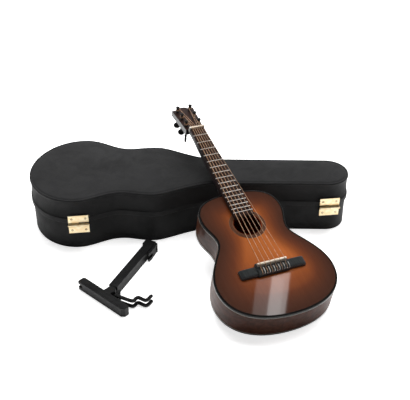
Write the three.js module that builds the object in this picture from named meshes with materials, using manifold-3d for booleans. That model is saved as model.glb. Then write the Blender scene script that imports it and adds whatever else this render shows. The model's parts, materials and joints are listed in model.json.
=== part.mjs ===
// A quarter-size acoustic guitar leaning on its closed hard case, with its folding stand
// lying on its side next to it. Millimetres, +Z up. The origin is the centre of the case's
// underside, +X runs along the case to its neck end, and -Y is the side with the hinges.
import * as THREE from "three";
import * as BufferGeometryUtils from "three/addons/utils/BufferGeometryUtils.js";
import Module from "manifold-3d";

const wasm = await Module();
wasm.setup();

const GAP = 0.3; // between pieces that touch

// ---- driving dimensions -------------------------------------------------------------------

const CASE = {
  halfLength: 137, height: 48.5, seamZ: 26, wall: 1.9,
  lower: { x: -95, half: 49.4 }, waist: { x: -54.5, half: 35.5 }, upper: { x: -29.5, half: 38.2 },
  neck: { fromX: 27.5, half: 19, cornerR: 18 },
  rim: 0.7, rimHeight: 2.2, lip: 1.1, lipHeight: 4.5, baseInset: 0.2, padHeight: 1.2,
};

const CRADLE = { fromX: 57.5, toX: 69.5, half: 15.5, top: 17, notchR: 9.5, notchZ: 19 };

// lidSide is the end of the hinge, seen from outside, where the lid leaf's knuckle is.
const HINGE = {
  turn: 8.12, places: [{ name: "left", x: -89.7, lidSide: -1 }, { name: "right", x: 121.3, lidSide: 1 }],
  leafWidth: 17, leafHeight: 8.6, leafThick: 0.8, knuckleR: 1.35, pinR: 0.65, standOff: 0.35,
};

const CLASP = {
  places: [{ name: "left", x: -95.5 }, { name: "right", x: 89.5 }],
  width: 11, plateHeight: 8, thick: 0.8, barrelR: 1.0, hingeZ: 34, flapDrop: 15,
};

const HANDLE = { fromX: -71.5, toX: -37.5, z: 20, postR: 1.3, postLength: 4.2, gripR: 2.1, drop: 10 };

const BODY = {
  depth: 23.8, length: 125, board: 1.4, rim: 1.6, binding: 1.1, bindingHeight: 1.6,
  lower: { half: 48.5, y: 35.3 }, waist: { half: 30.3, y: 78.4 }, upper: { half: 35.2, y: 101.8 },
  holeY: 89.5, holeR: 11.2, rosetteIn: 11.9, rosetteOut: 14.8, rosetteProud: 0.25,
};

const NECK = {
  nutY: 202.6, nutWidth: 3, nutHalf: 6.8, nutTop: 5.5, boardTop: 3.7, boardEndY: 95.6,
  halfAtNut: 6.5, halfAtBoardEnd: 8.4, depth: 10.3, depthAtNut: 6.2, heelDepth: 22.2, heelLength: 15,
};

const HEAD = { tilt: 6, length: 32.5, thick: 5.5, halfAtNut: 8.2, halfAtTip: 10.3, faceDrop: 0.4 };

// turns has one angle for each peg: how far its thumb disc happens to be turned.
const PEG = {
  rows: [6, 17, 28], offset: 5.9, shaftR: 1.3, postR: 1.4, postHeight: 5.5, stem: 6.4,
  collarR: 2.1, discR: 3.1, discThick: 2.2, turns: [1.16, 1.2, -0.4, 1.5, -0.4, 0.6],
};

const BRIDGE = {
  y: 42.3, halfLength: 27, width: 8, wingHeight: 2.8, blockHalf: 13, blockWidth: 9.6,
  blockHeight: 4.6, saddleY: 45, saddleHalf: 12, saddleR: 1.1, saddleTop: 7.3, tieY: 40.2,
};

const STRINGS = {
  count: 6, saddleSpacing: 4.1, nutSpacing: 1.85, radii: [0.26, 0.24, 0.22, 0.2, 0.18, 0.17],
};

const LEAN = { x: 83.2, y: -153.65, z: 23.4, turn: 23.05, lean: 13.7, roll: 0.8 };

const STAND = {
  x: -58.6, y: -115.6, turn: -23.5, lateral: 8.2, floorGap: 0.05,
  spineBack: 4.2, spineFront: 3.4, spineLength: 65,
  baseSlope: 17.2, baseRear: 27, baseFront: 25, baseHeight: 7,
  pivotS: 3.85, earR: 3.7, tongue: 2.9, pinR: 0.9, pinPlay: 0.25,
  armR: 1.5, armSpacing: 5.2, hubN: 6.6, hubS: 3.6, hubR: 1.8,
  restN: 4.9, restS: 70.4, restR: 1.2, restLength: 15.5, restThick: 1.6,
  crossPinR: 0.6, restPinR: 0.45, crossPlay: 0.2,
};

// ---- helpers --------------------------------------------------------------------------------

const rad = THREE.MathUtils.degToRad;
const V2 = (x, y) => new THREE.Vector2(x, y);
const V3 = (x, y, z) => new THREE.Vector3(x, y, z);

function material(color, roughness, metalness = 0) {
  return new THREE.MeshStandardMaterial({ color, roughness, metalness });
}

const PAINT = {
  leatherette: () => material(0x2b2b2c, 0.75),
  plush: () => material(0x5a1420, 0.95),
  brass: () => material(0xd9b878, 0.3, 0.9),
  top: () => material(0x9a5524, 0.15),
  sides: () => material(0x3a1a12, 0.2),
  binding: () => material(0x120c0a, 0.25),
  innerWood: () => material(0xb08a5c, 0.8),
  neckWood: () => material(0x2c1711, 0.3),
  fingerboard: () => material(0x4a2a1c, 0.45),
  bone: () => material(0xefe6d0, 0.4),
  bridgeBlack: () => material(0x23262a, 0.45),
  peg: () => material(0x17110f, 0.4),
  string: () => material(0xc8a98a, 0.35, 0.6),
  plastic: () => material(0x1c1c1d, 0.6),
};

function toSolid(geometry) {
  const bare = geometry.clone();
  bare.deleteAttribute("normal");
  bare.deleteAttribute("uv");
  const merged = BufferGeometryUtils.mergeVertices(bare, 1e-4);
  const mesh = new wasm.Mesh({
    numProp: 3,
    vertProperties: new Float32Array(merged.attributes.position.array),
    triVerts: new Uint32Array(merged.index.array),
  });
  return new wasm.Manifold(mesh);
}

function toGeometry(solid) {
  const mesh = solid.getMesh();
  const geometry = new THREE.BufferGeometry();
  geometry.setAttribute("position", new THREE.BufferAttribute(new Float32Array(mesh.vertProperties), 3));
  geometry.setIndex(new THREE.BufferAttribute(new Uint32Array(mesh.triVerts), 1));
  geometry.computeVertexNormals();
  return geometry;
}

const join = (first, ...rest) => toGeometry(rest.reduce((sum, g) => sum.add(toSolid(g)), toSolid(first)));
const cut = (first, ...rest) =>
  toGeometry(rest.reduce((sum, g) => sum.subtract(toSolid(g)), toSolid(first)));

function addPiece(parent, name, geometry, paint, at = [0, 0, 0], turn = [0, 0, 0]) {
  const mesh = new THREE.Mesh(geometry, PAINT[paint]());
  mesh.name = name;
  mesh.position.set(...at);
  mesh.rotation.set(...turn);
  parent.add(mesh);
  return mesh;
}

function boxAt(x0, x1, y0, y1, z0, z1) {
  const box = new THREE.BoxGeometry(x1 - x0, y1 - y0, z1 - z0);
  return box.translate((x0 + x1) / 2, (y0 + y1) / 2, (z0 + z1) / 2);
}

function rodAlong(axis, radius, from, to, sides = 12) {
  const rod = new THREE.CylinderGeometry(radius, radius, to - from, sides);
  if (axis === "x") rod.rotateZ(-Math.PI / 2).translate((from + to) / 2, 0, 0);
  if (axis === "y") rod.translate(0, (from + to) / 2, 0);
  if (axis === "z") rod.rotateX(Math.PI / 2).translate(0, 0, (from + to) / 2);
  return rod;
}

// A closed outline from one half: the half runs from a point on the axis round to the axis again.
function mirrored(half, flip) {
  const other = half.slice(1, -1).reverse().map(flip);
  return [...half, ...other];
}

// Each point moved in from the outline by a distance, along the local normal.
function inset(points, distance) {
  const count = points.length;
  const area = THREE.ShapeUtils.area(points);
  return points.map((point, i) => {
    const before = points[(i + count - 1) % count];
    const after = points[(i + 1) % count];
    const along = after.clone().sub(before).normalize().multiplyScalar(Math.sign(area));
    return V2(point.x - along.y * distance, point.y + along.x * distance);
  });
}

function plate(points, z0, z1, hole) {
  const shape = new THREE.Shape(points);
  if (hole) shape.holes.push(new THREE.Path([...hole].reverse()));
  const solid = new THREE.ExtrudeGeometry(shape, { depth: z1 - z0, bevelEnabled: false, steps: 1 });
  return solid.translate(0, 0, z0);
}

function circle(x, y, r, sides) {
  return Array.from({ length: sides }, (_, i) => {
    const a = (2 * Math.PI * i) / sides;
    return V2(x + r * Math.cos(a), y + r * Math.sin(a));
  });
}

// A path whose corners stay exactly where they are given when it is swept.
class CornerPath extends THREE.Curve {
  constructor(points) {
    super();
    this.points = points;
  }

  getPoint(t, target = V3(0, 0, 0)) {
    const place = Math.min(Math.max(t, 0), 1) * (this.points.length - 1);
    const i = Math.min(Math.floor(place), this.points.length - 2);
    return target.lerpVectors(this.points[i], this.points[i + 1], place - i);
  }

  getPointAt(u, target) {
    return this.getPoint(u, target);
  }

  getTangentAt(u, target) {
    return this.getTangent(u, target);
  }
}

function tube(points, radius, sides) {
  const path = new CornerPath(points);
  const section = new THREE.Shape(circle(0, 0, radius, sides));
  const settings = { steps: points.length - 1, bevelEnabled: false, extrudePath: path };
  return new THREE.ExtrudeGeometry(section, settings);
}

// Corner points replaced by short quadratic bends.
function rounded(points, bend) {
  const out = [points[0]];
  for (let i = 1; i < points.length - 1; i++) {
    const from = points[i].clone().lerp(points[i - 1], bend / points[i].distanceTo(points[i - 1]));
    const to = points[i].clone().lerp(points[i + 1], bend / points[i].distanceTo(points[i + 1]));
    out.push(...new THREE.QuadraticBezierCurve3(from, points[i], to).getPoints(3));
  }
  return [...out, points.at(-1)];
}

// Rings of equal length joined into one closed skin, with flat ends.
function loft(rings) {
  const sides = rings[0].length;
  const points = rings.flat();
  const first = new THREE.Vector3();
  const last = new THREE.Vector3();
  rings[0].forEach((p) => first.addScaledVector(p, 1 / sides));
  rings.at(-1).forEach((p) => last.addScaledVector(p, 1 / sides));
  points.push(first, last);
  const index = [];
  for (let r = 0; r < rings.length - 1; r++) {
    for (let i = 0; i < sides; i++) {
      const a = r * sides + i;
      const b = r * sides + ((i + 1) % sides);
      index.push(a, b, b + sides, a, b + sides, a + sides);
    }
  }
  const top = (rings.length - 1) * sides;
  for (let i = 0; i < sides; i++) {
    const j = (i + 1) % sides;
    index.push(points.length - 2, j, i);
    index.push(points.length - 1, top + i, top + j);
  }
  const geometry = new THREE.BufferGeometry().setFromPoints(points);
  geometry.setIndex(index);
  geometry.computeVertexNormals();
  return geometry;
}

// ---- outlines -------------------------------------------------------------------------------

function caseOutline() {
  const { halfLength: L, lower, waist, upper, neck } = CASE;
  const half = new THREE.Path();
  half.moveTo(-L, 0);
  half.bezierCurveTo(-L, 27, -118, lower.half, lower.x, lower.half);
  half.bezierCurveTo(-79, lower.half, -71, waist.half, waist.x, waist.half);
  half.bezierCurveTo(-47, waist.half, -42, upper.half, upper.x, upper.half);
  half.bezierCurveTo(-17, upper.half, 3, neck.half, neck.fromX, neck.half);
  half.lineTo(L - neck.cornerR, neck.half);
  half.absarc(L - neck.cornerR, neck.half - neck.cornerR, neck.cornerR, Math.PI / 2, 0, true);
  half.lineTo(L, 0);
  const points = half.getPoints(7).filter((p, i, all) => i === 0 || p.distanceTo(all[i - 1]) > 0.01);
  return mirrored(points, (p) => V2(p.x, -p.y)).reverse();
}

function bodyOutline() {
  const { length: L, lower, waist, upper } = BODY;
  const half = new THREE.Path();
  half.moveTo(0, 0);
  half.bezierCurveTo(33, 0, lower.half, lower.y - 20, lower.half, lower.y);
  half.bezierCurveTo(lower.half, lower.y + 20, waist.half, waist.y - 9, waist.half, waist.y);
  half.bezierCurveTo(waist.half, waist.y + 9, upper.half, upper.y - 10, upper.half, upper.y);
  half.bezierCurveTo(upper.half, upper.y + 17, 23, L, 0, L);
  return mirrored(half.getPoints(8), (p) => V2(-p.x, p.y));
}

// ---- the case -------------------------------------------------------------------------------

function buildCase(parent) {
  const { height, seamZ, wall, rim, rimHeight, lip, lipHeight, baseInset, padHeight } = CASE;
  const outline = caseOutline();
  const inner = inset(outline, wall);
  const baseTop = seamZ - GAP / 2;
  const lidBottom = seamZ + GAP / 2;
  const floorZ = wall;
  const roofZ = height - wall;

  const base = plate(inset(outline, baseInset), 0, baseTop);
  const baseSpace = plate(inset(inner, baseInset), floorZ, baseTop + 1);
  addPiece(parent, "case_base_shell", cut(base, baseSpace), "leatherette");

  const lid = toSolid(plate(outline, lidBottom, height - rimHeight / 2))
    .add(toSolid(plate(inset(outline, -rim), height - rimHeight, height)))
    .add(toSolid(plate(inset(outline, -lip), lidBottom, lidBottom + lipHeight)))
    .subtract(toSolid(plate(inner, lidBottom - 1, roofZ)));
  addPiece(parent, "case_lid_shell", toGeometry(lid), "leatherette");

  const padOutline = inset(inner, baseInset + GAP);
  addPiece(parent, "base_lining", plate(padOutline, floorZ + GAP, floorZ + GAP + padHeight), "plush");
  addPiece(parent, "lid_lining", plate(padOutline, roofZ - GAP - padHeight, roofZ - GAP), "plush");

  const padTop = floorZ + 2 * GAP + padHeight;
  const cradle = cut(
    boxAt(CRADLE.fromX, CRADLE.toX, -CRADLE.half, CRADLE.half, padTop, CRADLE.top),
    rodAlong("x", CRADLE.notchR, CRADLE.fromX - 5, CRADLE.toX + 5, 16).translate(0, 0, CRADLE.notchZ),
  );
  addPiece(parent, "neck_cradle", cradle, "plush");
}

// One leaf of a butt hinge in its own frame: +x along the pin, +y away from the wall. The leaf
// has one knuckle, half the hinge long, at the end that side names.
function hingeLeaf(up, side) {
  const { leafWidth, leafHeight, leafThick, knuckleR, pinR } = HINGE;
  const half = leafWidth / 2;
  const sign = up ? 1 : -1;
  const [low, high] = [0.2 * sign, leafHeight * sign].sort((m, n) => m - n);
  const face = boxAt(-half, half, -leafThick - knuckleR, -knuckleR, low, high);
  const [from, to] = side > 0 ? [GAP / 2, half] : [-half, -GAP / 2];
  const [webLow, webHigh] = [0.2 * sign, 0.9 * sign].sort((m, n) => m - n);
  const web = boxAt(from, to, -knuckleR - leafThick / 2, -pinR, webLow, webHigh);
  const [clearFrom, clearTo] = side > 0 ? [-half - 1, GAP / 2] : [-GAP / 2, half + 1];
  const otherKnuckle = rodAlong("x", knuckleR + GAP, clearFrom, clearTo, 16);
  const bore = rodAlong("x", pinR + 0.12, -half - 1, half + 1, 8);
  return cut(join(cut(face, otherKnuckle), rodAlong("x", knuckleR, from, to, 16), web), bore);
}

// How far the case reaches towards -y', for axes turned by the hinge line's angle.
function hingeReach(points) {
  const a = rad(HINGE.turn);
  return Math.max(...points.map((p) => p.x * Math.sin(a) - p.y * Math.cos(a)));
}

function buildHinges(parent) {
  const { turn, places, leafWidth, leafThick, knuckleR, pinR, standOff } = HINGE;
  const a = rad(turn);
  const wallReach = hingeReach(inset(caseOutline(), -CASE.lip));
  const pinReach = wallReach + standOff + leafThick + knuckleR;
  for (const { name, x, lidSide } of places) {
    const y = (x * Math.sin(a) - pinReach) / Math.cos(a);
    const group = new THREE.Group();
    group.position.set(x, y, CASE.seamZ);
    group.rotation.z = Math.PI + a;
    // The group is turned to face away from the wall, so its +x is the other way.
    addPiece(group, `hinge_${name}_base_leaf`, hingeLeaf(false, lidSide), "brass");
    addPiece(group, `hinge_${name}_lid_leaf`, hingeLeaf(true, -lidSide), "brass");
    const pinHalf = leafWidth / 2 + 0.4;
    addPiece(group, `hinge_${name}_pin`, rodAlong("x", pinR, -pinHalf, pinHalf, 8), "brass");
    parent.add(group);
  }
}

function wallY(x) {
  const points = caseOutline();
  let best = 0;
  points.forEach((p, i) => {
    const q = points[(i + 1) % points.length];
    if ((p.x - x) * (q.x - x) > 0 || p.x === q.x) return;
    best = Math.max(best, p.y + ((q.y - p.y) * (x - p.x)) / (q.x - p.x));
  });
  return best;
}

// Snap clasps on the far wall: a plate and flap on the lid, and a keeper stud on the base.
function buildClasps(parent) {
  const { places, width, plateHeight, thick, barrelR, hingeZ, flapDrop } = CLASP;
  const half = width / 2;
  for (const { name, x } of places) {
    const wall = wallY(x) + CASE.lip + GAP;
    const group = new THREE.Group();
    group.position.set(x, wall, 0);
    const pinY = thick + barrelR;
    const lidPlate = join(
      boxAt(-half, half, 0, thick, hingeZ - barrelR, hingeZ + plateHeight - 1),
      rodAlong("x", barrelR, -half, -half + 3).translate(0, pinY, hingeZ),
      rodAlong("x", barrelR, half - 3, half).translate(0, pinY, hingeZ),
      boxAt(-half, -half + 3, thick / 2, pinY, hingeZ, hingeZ + barrelR),
      boxAt(half - 3, half, thick / 2, pinY, hingeZ, hingeZ + barrelR),
      rodAlong("x", 0.45, -half + 1, half - 1, 10).translate(0, pinY, hingeZ),
    );
    addPiece(group, `clasp_${name}_lid_plate`, lidPlate, "brass");

    const flapHalf = half - 3 - GAP;
    const flap = cut(
      join(
        rodAlong("x", barrelR, -flapHalf, flapHalf).translate(0, pinY, hingeZ),
        boxAt(-flapHalf, flapHalf, pinY, pinY + thick, hingeZ - flapDrop, hingeZ),
        rodAlong("x", 0.9, -flapHalf, flapHalf, 10).translate(0, pinY + thick, hingeZ - flapDrop),
      ),
      rodAlong("x", 0.6, -half, half, 10).translate(0, pinY, hingeZ),
    );
    addPiece(group, `clasp_${name}_flap`, flap, "brass");

    const keeper = join(
      boxAt(-half, half, -CASE.lip, thick, CASE.seamZ - 1 - plateHeight, CASE.seamZ - 1),
      rodAlong("y", 1.1, thick / 2, pinY - GAP, 12).translate(0, 0, hingeZ - flapDrop + 4.4),
    );
    addPiece(group, `clasp_${name}_keeper`, keeper, "brass");
    parent.add(group);
  }
}

function buildHandle(parent) {
  const { fromX, toX, z, postR, postLength, gripR, drop } = HANDLE;
  const from = V2(fromX, wallY(fromX));
  const to = V2(toX, wallY(toX));
  const middle = from.clone().add(to).multiplyScalar(0.5);
  const span = from.distanceTo(to);
  const group = new THREE.Group();
  group.position.set(middle.x, middle.y, z);
  group.rotation.z = Math.atan2(to.y - from.y, to.x - from.x);
  const pinY = postLength;
  for (const [side, sign] of [["left", -1], ["right", 1]]) {
    const x = (sign * span) / 2;
    const post = join(
      rodAlong("y", postR, 1.4, postLength, 12).translate(x, 0, 0),
      rodAlong("y", postR * 2, 1.4, 2.4, 14).translate(x, 0, 0),
      new THREE.SphereGeometry(postR * 1.25, 12, 8).translate(x, pinY, 0),
    );
    const hole = rodAlong("x", 0.75, x - 4, x + 4, 10).translate(0, pinY, 0);
    addPiece(group, `handle_${side}_post`, cut(post, hole), "brass");
  }
  const reach = span / 2 + 2.2;
  const loop = rounded([
    V3(-span / 2 + 2.4, pinY, 0),
    V3(-reach - 1.4, pinY, 0),
    V3(-reach - 1.4, pinY, -drop),
    V3(reach + 1.4, pinY, -drop),
    V3(reach + 1.4, pinY, 0),
    V3(span / 2 - 2.4, pinY, 0),
  ], 1.5);
  const grip = rodAlong("x", gripR, -span / 2 + 4, span / 2 - 4).translate(0, pinY, -drop);
  addPiece(group, "carrying_handle", join(tube(loop, 0.55, 8), grip), "leatherette");
  parent.add(group);
}

// ---- the guitar -----------------------------------------------------------------------------

function buildBody(guitar) {
  const { depth, length, board, rim, binding, bindingHeight } = BODY;
  const { holeY, holeR, rosetteIn, rosetteOut, rosetteProud } = BODY;
  const outline = bodyOutline();
  const boardLine = inset(outline, binding + GAP);
  const bindingLine = inset(outline, binding);
  const hole = circle(0, holeY, holeR, 28);
  const recessBottom = -0.5;
  const recessInner = circle(0, holeY, rosetteIn - GAP, 28);
  const recess = plate(circle(0, holeY, rosetteOut + GAP, 32), recessBottom, 1, recessInner);

  addPiece(guitar, "soundboard", cut(plate(boardLine, -board, 0, hole), recess), "top");
  const rosetteInner = circle(0, holeY, rosetteIn, 28);
  const rosetteOuter = circle(0, holeY, rosetteOut, 32);
  const rosetteRing = plate(rosetteOuter, recessBottom + GAP / 2, rosetteProud, rosetteInner);
  const boardEnd = boxAt(-12, 12, NECK.boardEndY - GAP, holeY + 20, -2, 2);
  addPiece(guitar, "rosette", cut(rosetteRing, boardEnd), "bone");
  addPiece(guitar, "back_plate", plate(boardLine, -depth, -depth + board), "sides");
  addPiece(guitar, "top_binding", plate(outline, -bindingHeight, 0, bindingLine), "binding");
  addPiece(guitar, "back_binding", plate(outline, -depth, -depth + bindingHeight, bindingLine), "binding");
  const rimTop = -bindingHeight - GAP;
  const rimBottom = -depth + bindingHeight + GAP;
  const rimInner = inset(outline, 0.2 + rim);
  addPiece(guitar, "rim", plate(inset(outline, 0.2), rimBottom, rimTop, rimInner), "sides");

  const innerTop = -board - GAP - 0.2;
  const innerBottom = -depth + board + GAP + 0.2;
  const wallIn = rim + 0.2 + 2 * GAP;
  const neckBlock = boxAt(-11, 11, length - wallIn - 10.5, length - wallIn - 0.8, innerBottom, innerTop);
  addPiece(guitar, "neck_block", neckBlock, "innerWood");
  const tailBlock = boxAt(-9, 9, wallIn + 0.9, wallIn + 6.5, innerBottom, innerTop);
  addPiece(guitar, "tail_block", tailBlock, "innerWood");
  const braceWidth = 2.5;
  const braceHeight = 3.2;
  const brace = (name, half, y, z) => {
    addPiece(guitar, name, boxAt(-half, half, y, y + braceWidth, z, z + braceHeight), "innerWood");
  };
  brace("upper_top_brace", 30.5, 104.5, innerTop - braceHeight);
  brace("lower_top_brace", 26, 72, innerTop - braceHeight);
  brace("upper_back_brace", 30.5, 98, innerBottom);
  brace("lower_back_brace", 42, 38, innerBottom);
}

// Half width of the fingerboard at a place along it.
function boardHalf(y) {
  const t = (NECK.nutY - y) / (NECK.nutY - NECK.boardEndY);
  return THREE.MathUtils.lerp(NECK.halfAtNut, NECK.halfAtBoardEnd, t);
}

// A round-backed section: flat on top, with a short upright shoulder each side.
function neckRing(y, half, depth) {
  const ring = [V3(half, y, 0)];
  const arc = 14;
  const shoulder = 0.8;
  for (let i = 0; i <= arc; i++) {
    const a = (Math.PI * i) / arc;
    const x = i === arc / 2 ? 0 : half * Math.cos(a);
    ring.push(V3(x, y, -shoulder - (depth - shoulder) * Math.sin(a)));
  }
  ring.push(V3(-half, y, 0));
  return ring;
}

function buildNeck(guitar) {
  const { nutY, nutWidth, nutHalf, nutTop, boardTop, boardEndY } = NECK;
  const { depth, depthAtNut, heelDepth, heelLength } = NECK;
  const from = BODY.length + GAP;
  const to = nutY + nutWidth + 2 * GAP;
  const stations = [0, 0.12, 0.3, 0.55, 0.8, 1];
  const heel = stations.map((t) => {
    const y = from + t * heelLength;
    const drop = depth + (heelDepth - depth) * (1 - t) ** 1.9;
    return neckRing(y, boardHalf(y), drop);
  });
  const shaft = [0.35, 0.7, 1].map((t) => {
    const y = THREE.MathUtils.lerp(from + heelLength, to, t);
    return neckRing(y, boardHalf(Math.min(y, nutY)), THREE.MathUtils.lerp(depth, depthAtNut, t));
  });
  addPiece(guitar, "neck", loft([...heel, ...shaft]), "neckWood");

  const board = new THREE.Shape([
    V2(-boardHalf(boardEndY), boardEndY), V2(boardHalf(boardEndY), boardEndY),
    V2(boardHalf(nutY), nutY), V2(-boardHalf(nutY), nutY),
  ]);
  const fingerboard = new THREE.ExtrudeGeometry(board, { depth: boardTop - GAP, bevelEnabled: false });
  addPiece(guitar, "fingerboard", fingerboard.translate(0, 0, GAP), "fingerboard");
  addPiece(guitar, "nut", boxAt(-nutHalf, nutHalf, nutY + GAP, nutY + GAP + nutWidth, GAP, nutTop), "bone");
}

function headOutline() {
  const { length: L, halfAtNut, halfAtTip } = HEAD;
  const half = new THREE.Path();
  half.moveTo(0, 0);
  half.lineTo(halfAtNut, 0);
  half.lineTo(halfAtTip, L - 1);
  half.quadraticCurveTo(halfAtTip - 1.4, L - 1.6, halfAtTip - 3, L - 1.2);
  half.quadraticCurveTo(halfAtTip - 5, L - 1.2, halfAtTip - 5.8, L);
  half.quadraticCurveTo(halfAtTip - 7.5, L + 1.5, 0, L + 1.6);
  const points = half.getPoints(4).filter((p, i, all) => i === 0 || p.distanceTo(all[i - 1]) > 0.01);
  return mirrored(points, (p) => V2(-p.x, p.y));
}

function pegPlaces() {
  return PEG.rows.flatMap((y) => [-1, 1].map((side) => V2(side * PEG.offset, y)));
}

// A friction peg: post with a string hole, shaft, collar and flat thumb disc.
function pegShape(turn) {
  const { shaftR, postR, postHeight, collarR, discR, discThick, stem } = PEG;
  const under = -HEAD.thick - GAP;
  const profile = [
    [0, under - stem], [shaftR, under - stem], [shaftR, under - 1.6], [collarR, under - 1.2], [collarR, under],
    [shaftR, under], [shaftR, 1.2], [postR, 2], [postR, postHeight - 1.1], [postR + 0.35, postHeight - 0.7],
    [postR + 0.2, postHeight], [0, postHeight],
  ].map(([r, z]) => V2(r, z));
  const turned = new THREE.LatheGeometry(profile, 9).rotateX(Math.PI / 2);
  const disc = new THREE.SphereGeometry(discR, 10, 6);
  disc.scale(1, discThick / discR, 1).rotateZ(turn).translate(0, 0, under - stem + 0.8 - discR);
  const hole = rodAlong("x", 0.4, -3, 3, 5).rotateZ(turn).translate(0, 0, 3.4);
  return cut(join(turned, disc), hole);
}

function buildHead(guitar) {
  const { tilt, thick, faceDrop } = HEAD;
  const head = new THREE.Group();
  head.position.set(0, NECK.nutY + NECK.nutWidth + 3 * GAP + thick * Math.sin(rad(tilt)), -faceDrop);
  head.rotation.x = rad(-tilt);
  const blank = plate(headOutline(), -thick, 0);
  const hole = rodAlong("z", PEG.shaftR + GAP, -thick - 1, 1, 10);
  const holes = pegPlaces().map((p) => hole.clone().translate(p.x, p.y, 0));
  addPiece(head, "headstock", cut(blank, ...holes), "neckWood");
  pegPlaces().forEach((p, i) => {
    addPiece(head, `tuning_peg_${i + 1}`, pegShape(PEG.turns[i]), "peg", [p.x, p.y, 0]);
  });
  guitar.add(head);
  return head;
}

function buildBridge(guitar) {
  const { y, halfLength, width, wingHeight, blockHalf, blockWidth, blockHeight } = BRIDGE;
  const { saddleY, saddleHalf, saddleR, saddleTop } = BRIDGE;
  const bridge = cut(
    join(
      boxAt(-halfLength, halfLength, y - width / 2, y + width / 2, GAP, wingHeight),
      boxAt(-blockHalf, blockHalf, y - blockWidth / 2, y + blockWidth / 2 + 0.8, GAP, blockHeight),
    ),
    boxAt(-blockHalf - 1, blockHalf + 1, y - blockWidth, y - blockWidth / 2 + 1.5, blockHeight - 1.2, 9),
  );
  addPiece(guitar, "bridge", bridge, "bridgeBlack");
  const middle = saddleTop - saddleR;
  const flank = saddleR * 0.95;
  const saddle = join(
    rodAlong("x", saddleR, -saddleHalf, saddleHalf, 12).translate(0, saddleY, middle),
    boxAt(-saddleHalf, saddleHalf, saddleY - flank, saddleY + flank, blockHeight + GAP, middle),
  );
  addPiece(guitar, "saddle", saddle, "bone");
}

function buildStrings(guitar, head) {
  const { count, saddleSpacing, nutSpacing, radii } = STRINGS;
  head.updateMatrix();
  const rowOf = [0, 1, 2, 2, 1, 0];
  for (let i = 0; i < count; i++) {
    const place = i - (count - 1) / 2;
    const r = radii[i];
    const side = Math.sign(place);
    const overSaddle = BRIDGE.saddleTop + GAP + r;
    const overNut = NECK.nutTop + GAP + r;
    const besidePost = PEG.offset - PEG.postR - GAP - 0.1 - r;
    const peg = V3(side * besidePost, PEG.rows[rowOf[i]] - 0.4, 4.2).applyMatrix4(head.matrix);
    const nutMiddle = NECK.nutY + GAP + NECK.nutWidth / 2;
    const path = [
      V3(place * saddleSpacing, BRIDGE.tieY, BRIDGE.blockHeight + GAP + r),
      V3(place * saddleSpacing, BRIDGE.saddleY - 1.1, overSaddle),
      V3(place * saddleSpacing, BRIDGE.saddleY + 0.8, overSaddle),
      V3(place * nutSpacing, nutMiddle - 1.3, overNut),
      V3(place * nutSpacing, nutMiddle + 1.6, overNut),
      peg,
    ];
    addPiece(guitar, `string_${i + 1}`, tube(path, r, 6), "string");
  }
}

function buildGuitar(parent) {
  const guitar = new THREE.Group();
  guitar.position.set(LEAN.x, LEAN.y, LEAN.z);
  guitar.rotation.set(rad(LEAN.lean), rad(LEAN.roll), rad(LEAN.turn), "ZXY");
  buildBody(guitar);
  buildNeck(guitar);
  buildBridge(guitar);
  const head = buildHead(guitar);
  buildStrings(guitar, head);
  parent.add(guitar);
}

// ---- the stand ------------------------------------------------------------------------------
// Its own frame: +x to the front, +y up along the spine, +z across, which is up as it lies.

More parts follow.
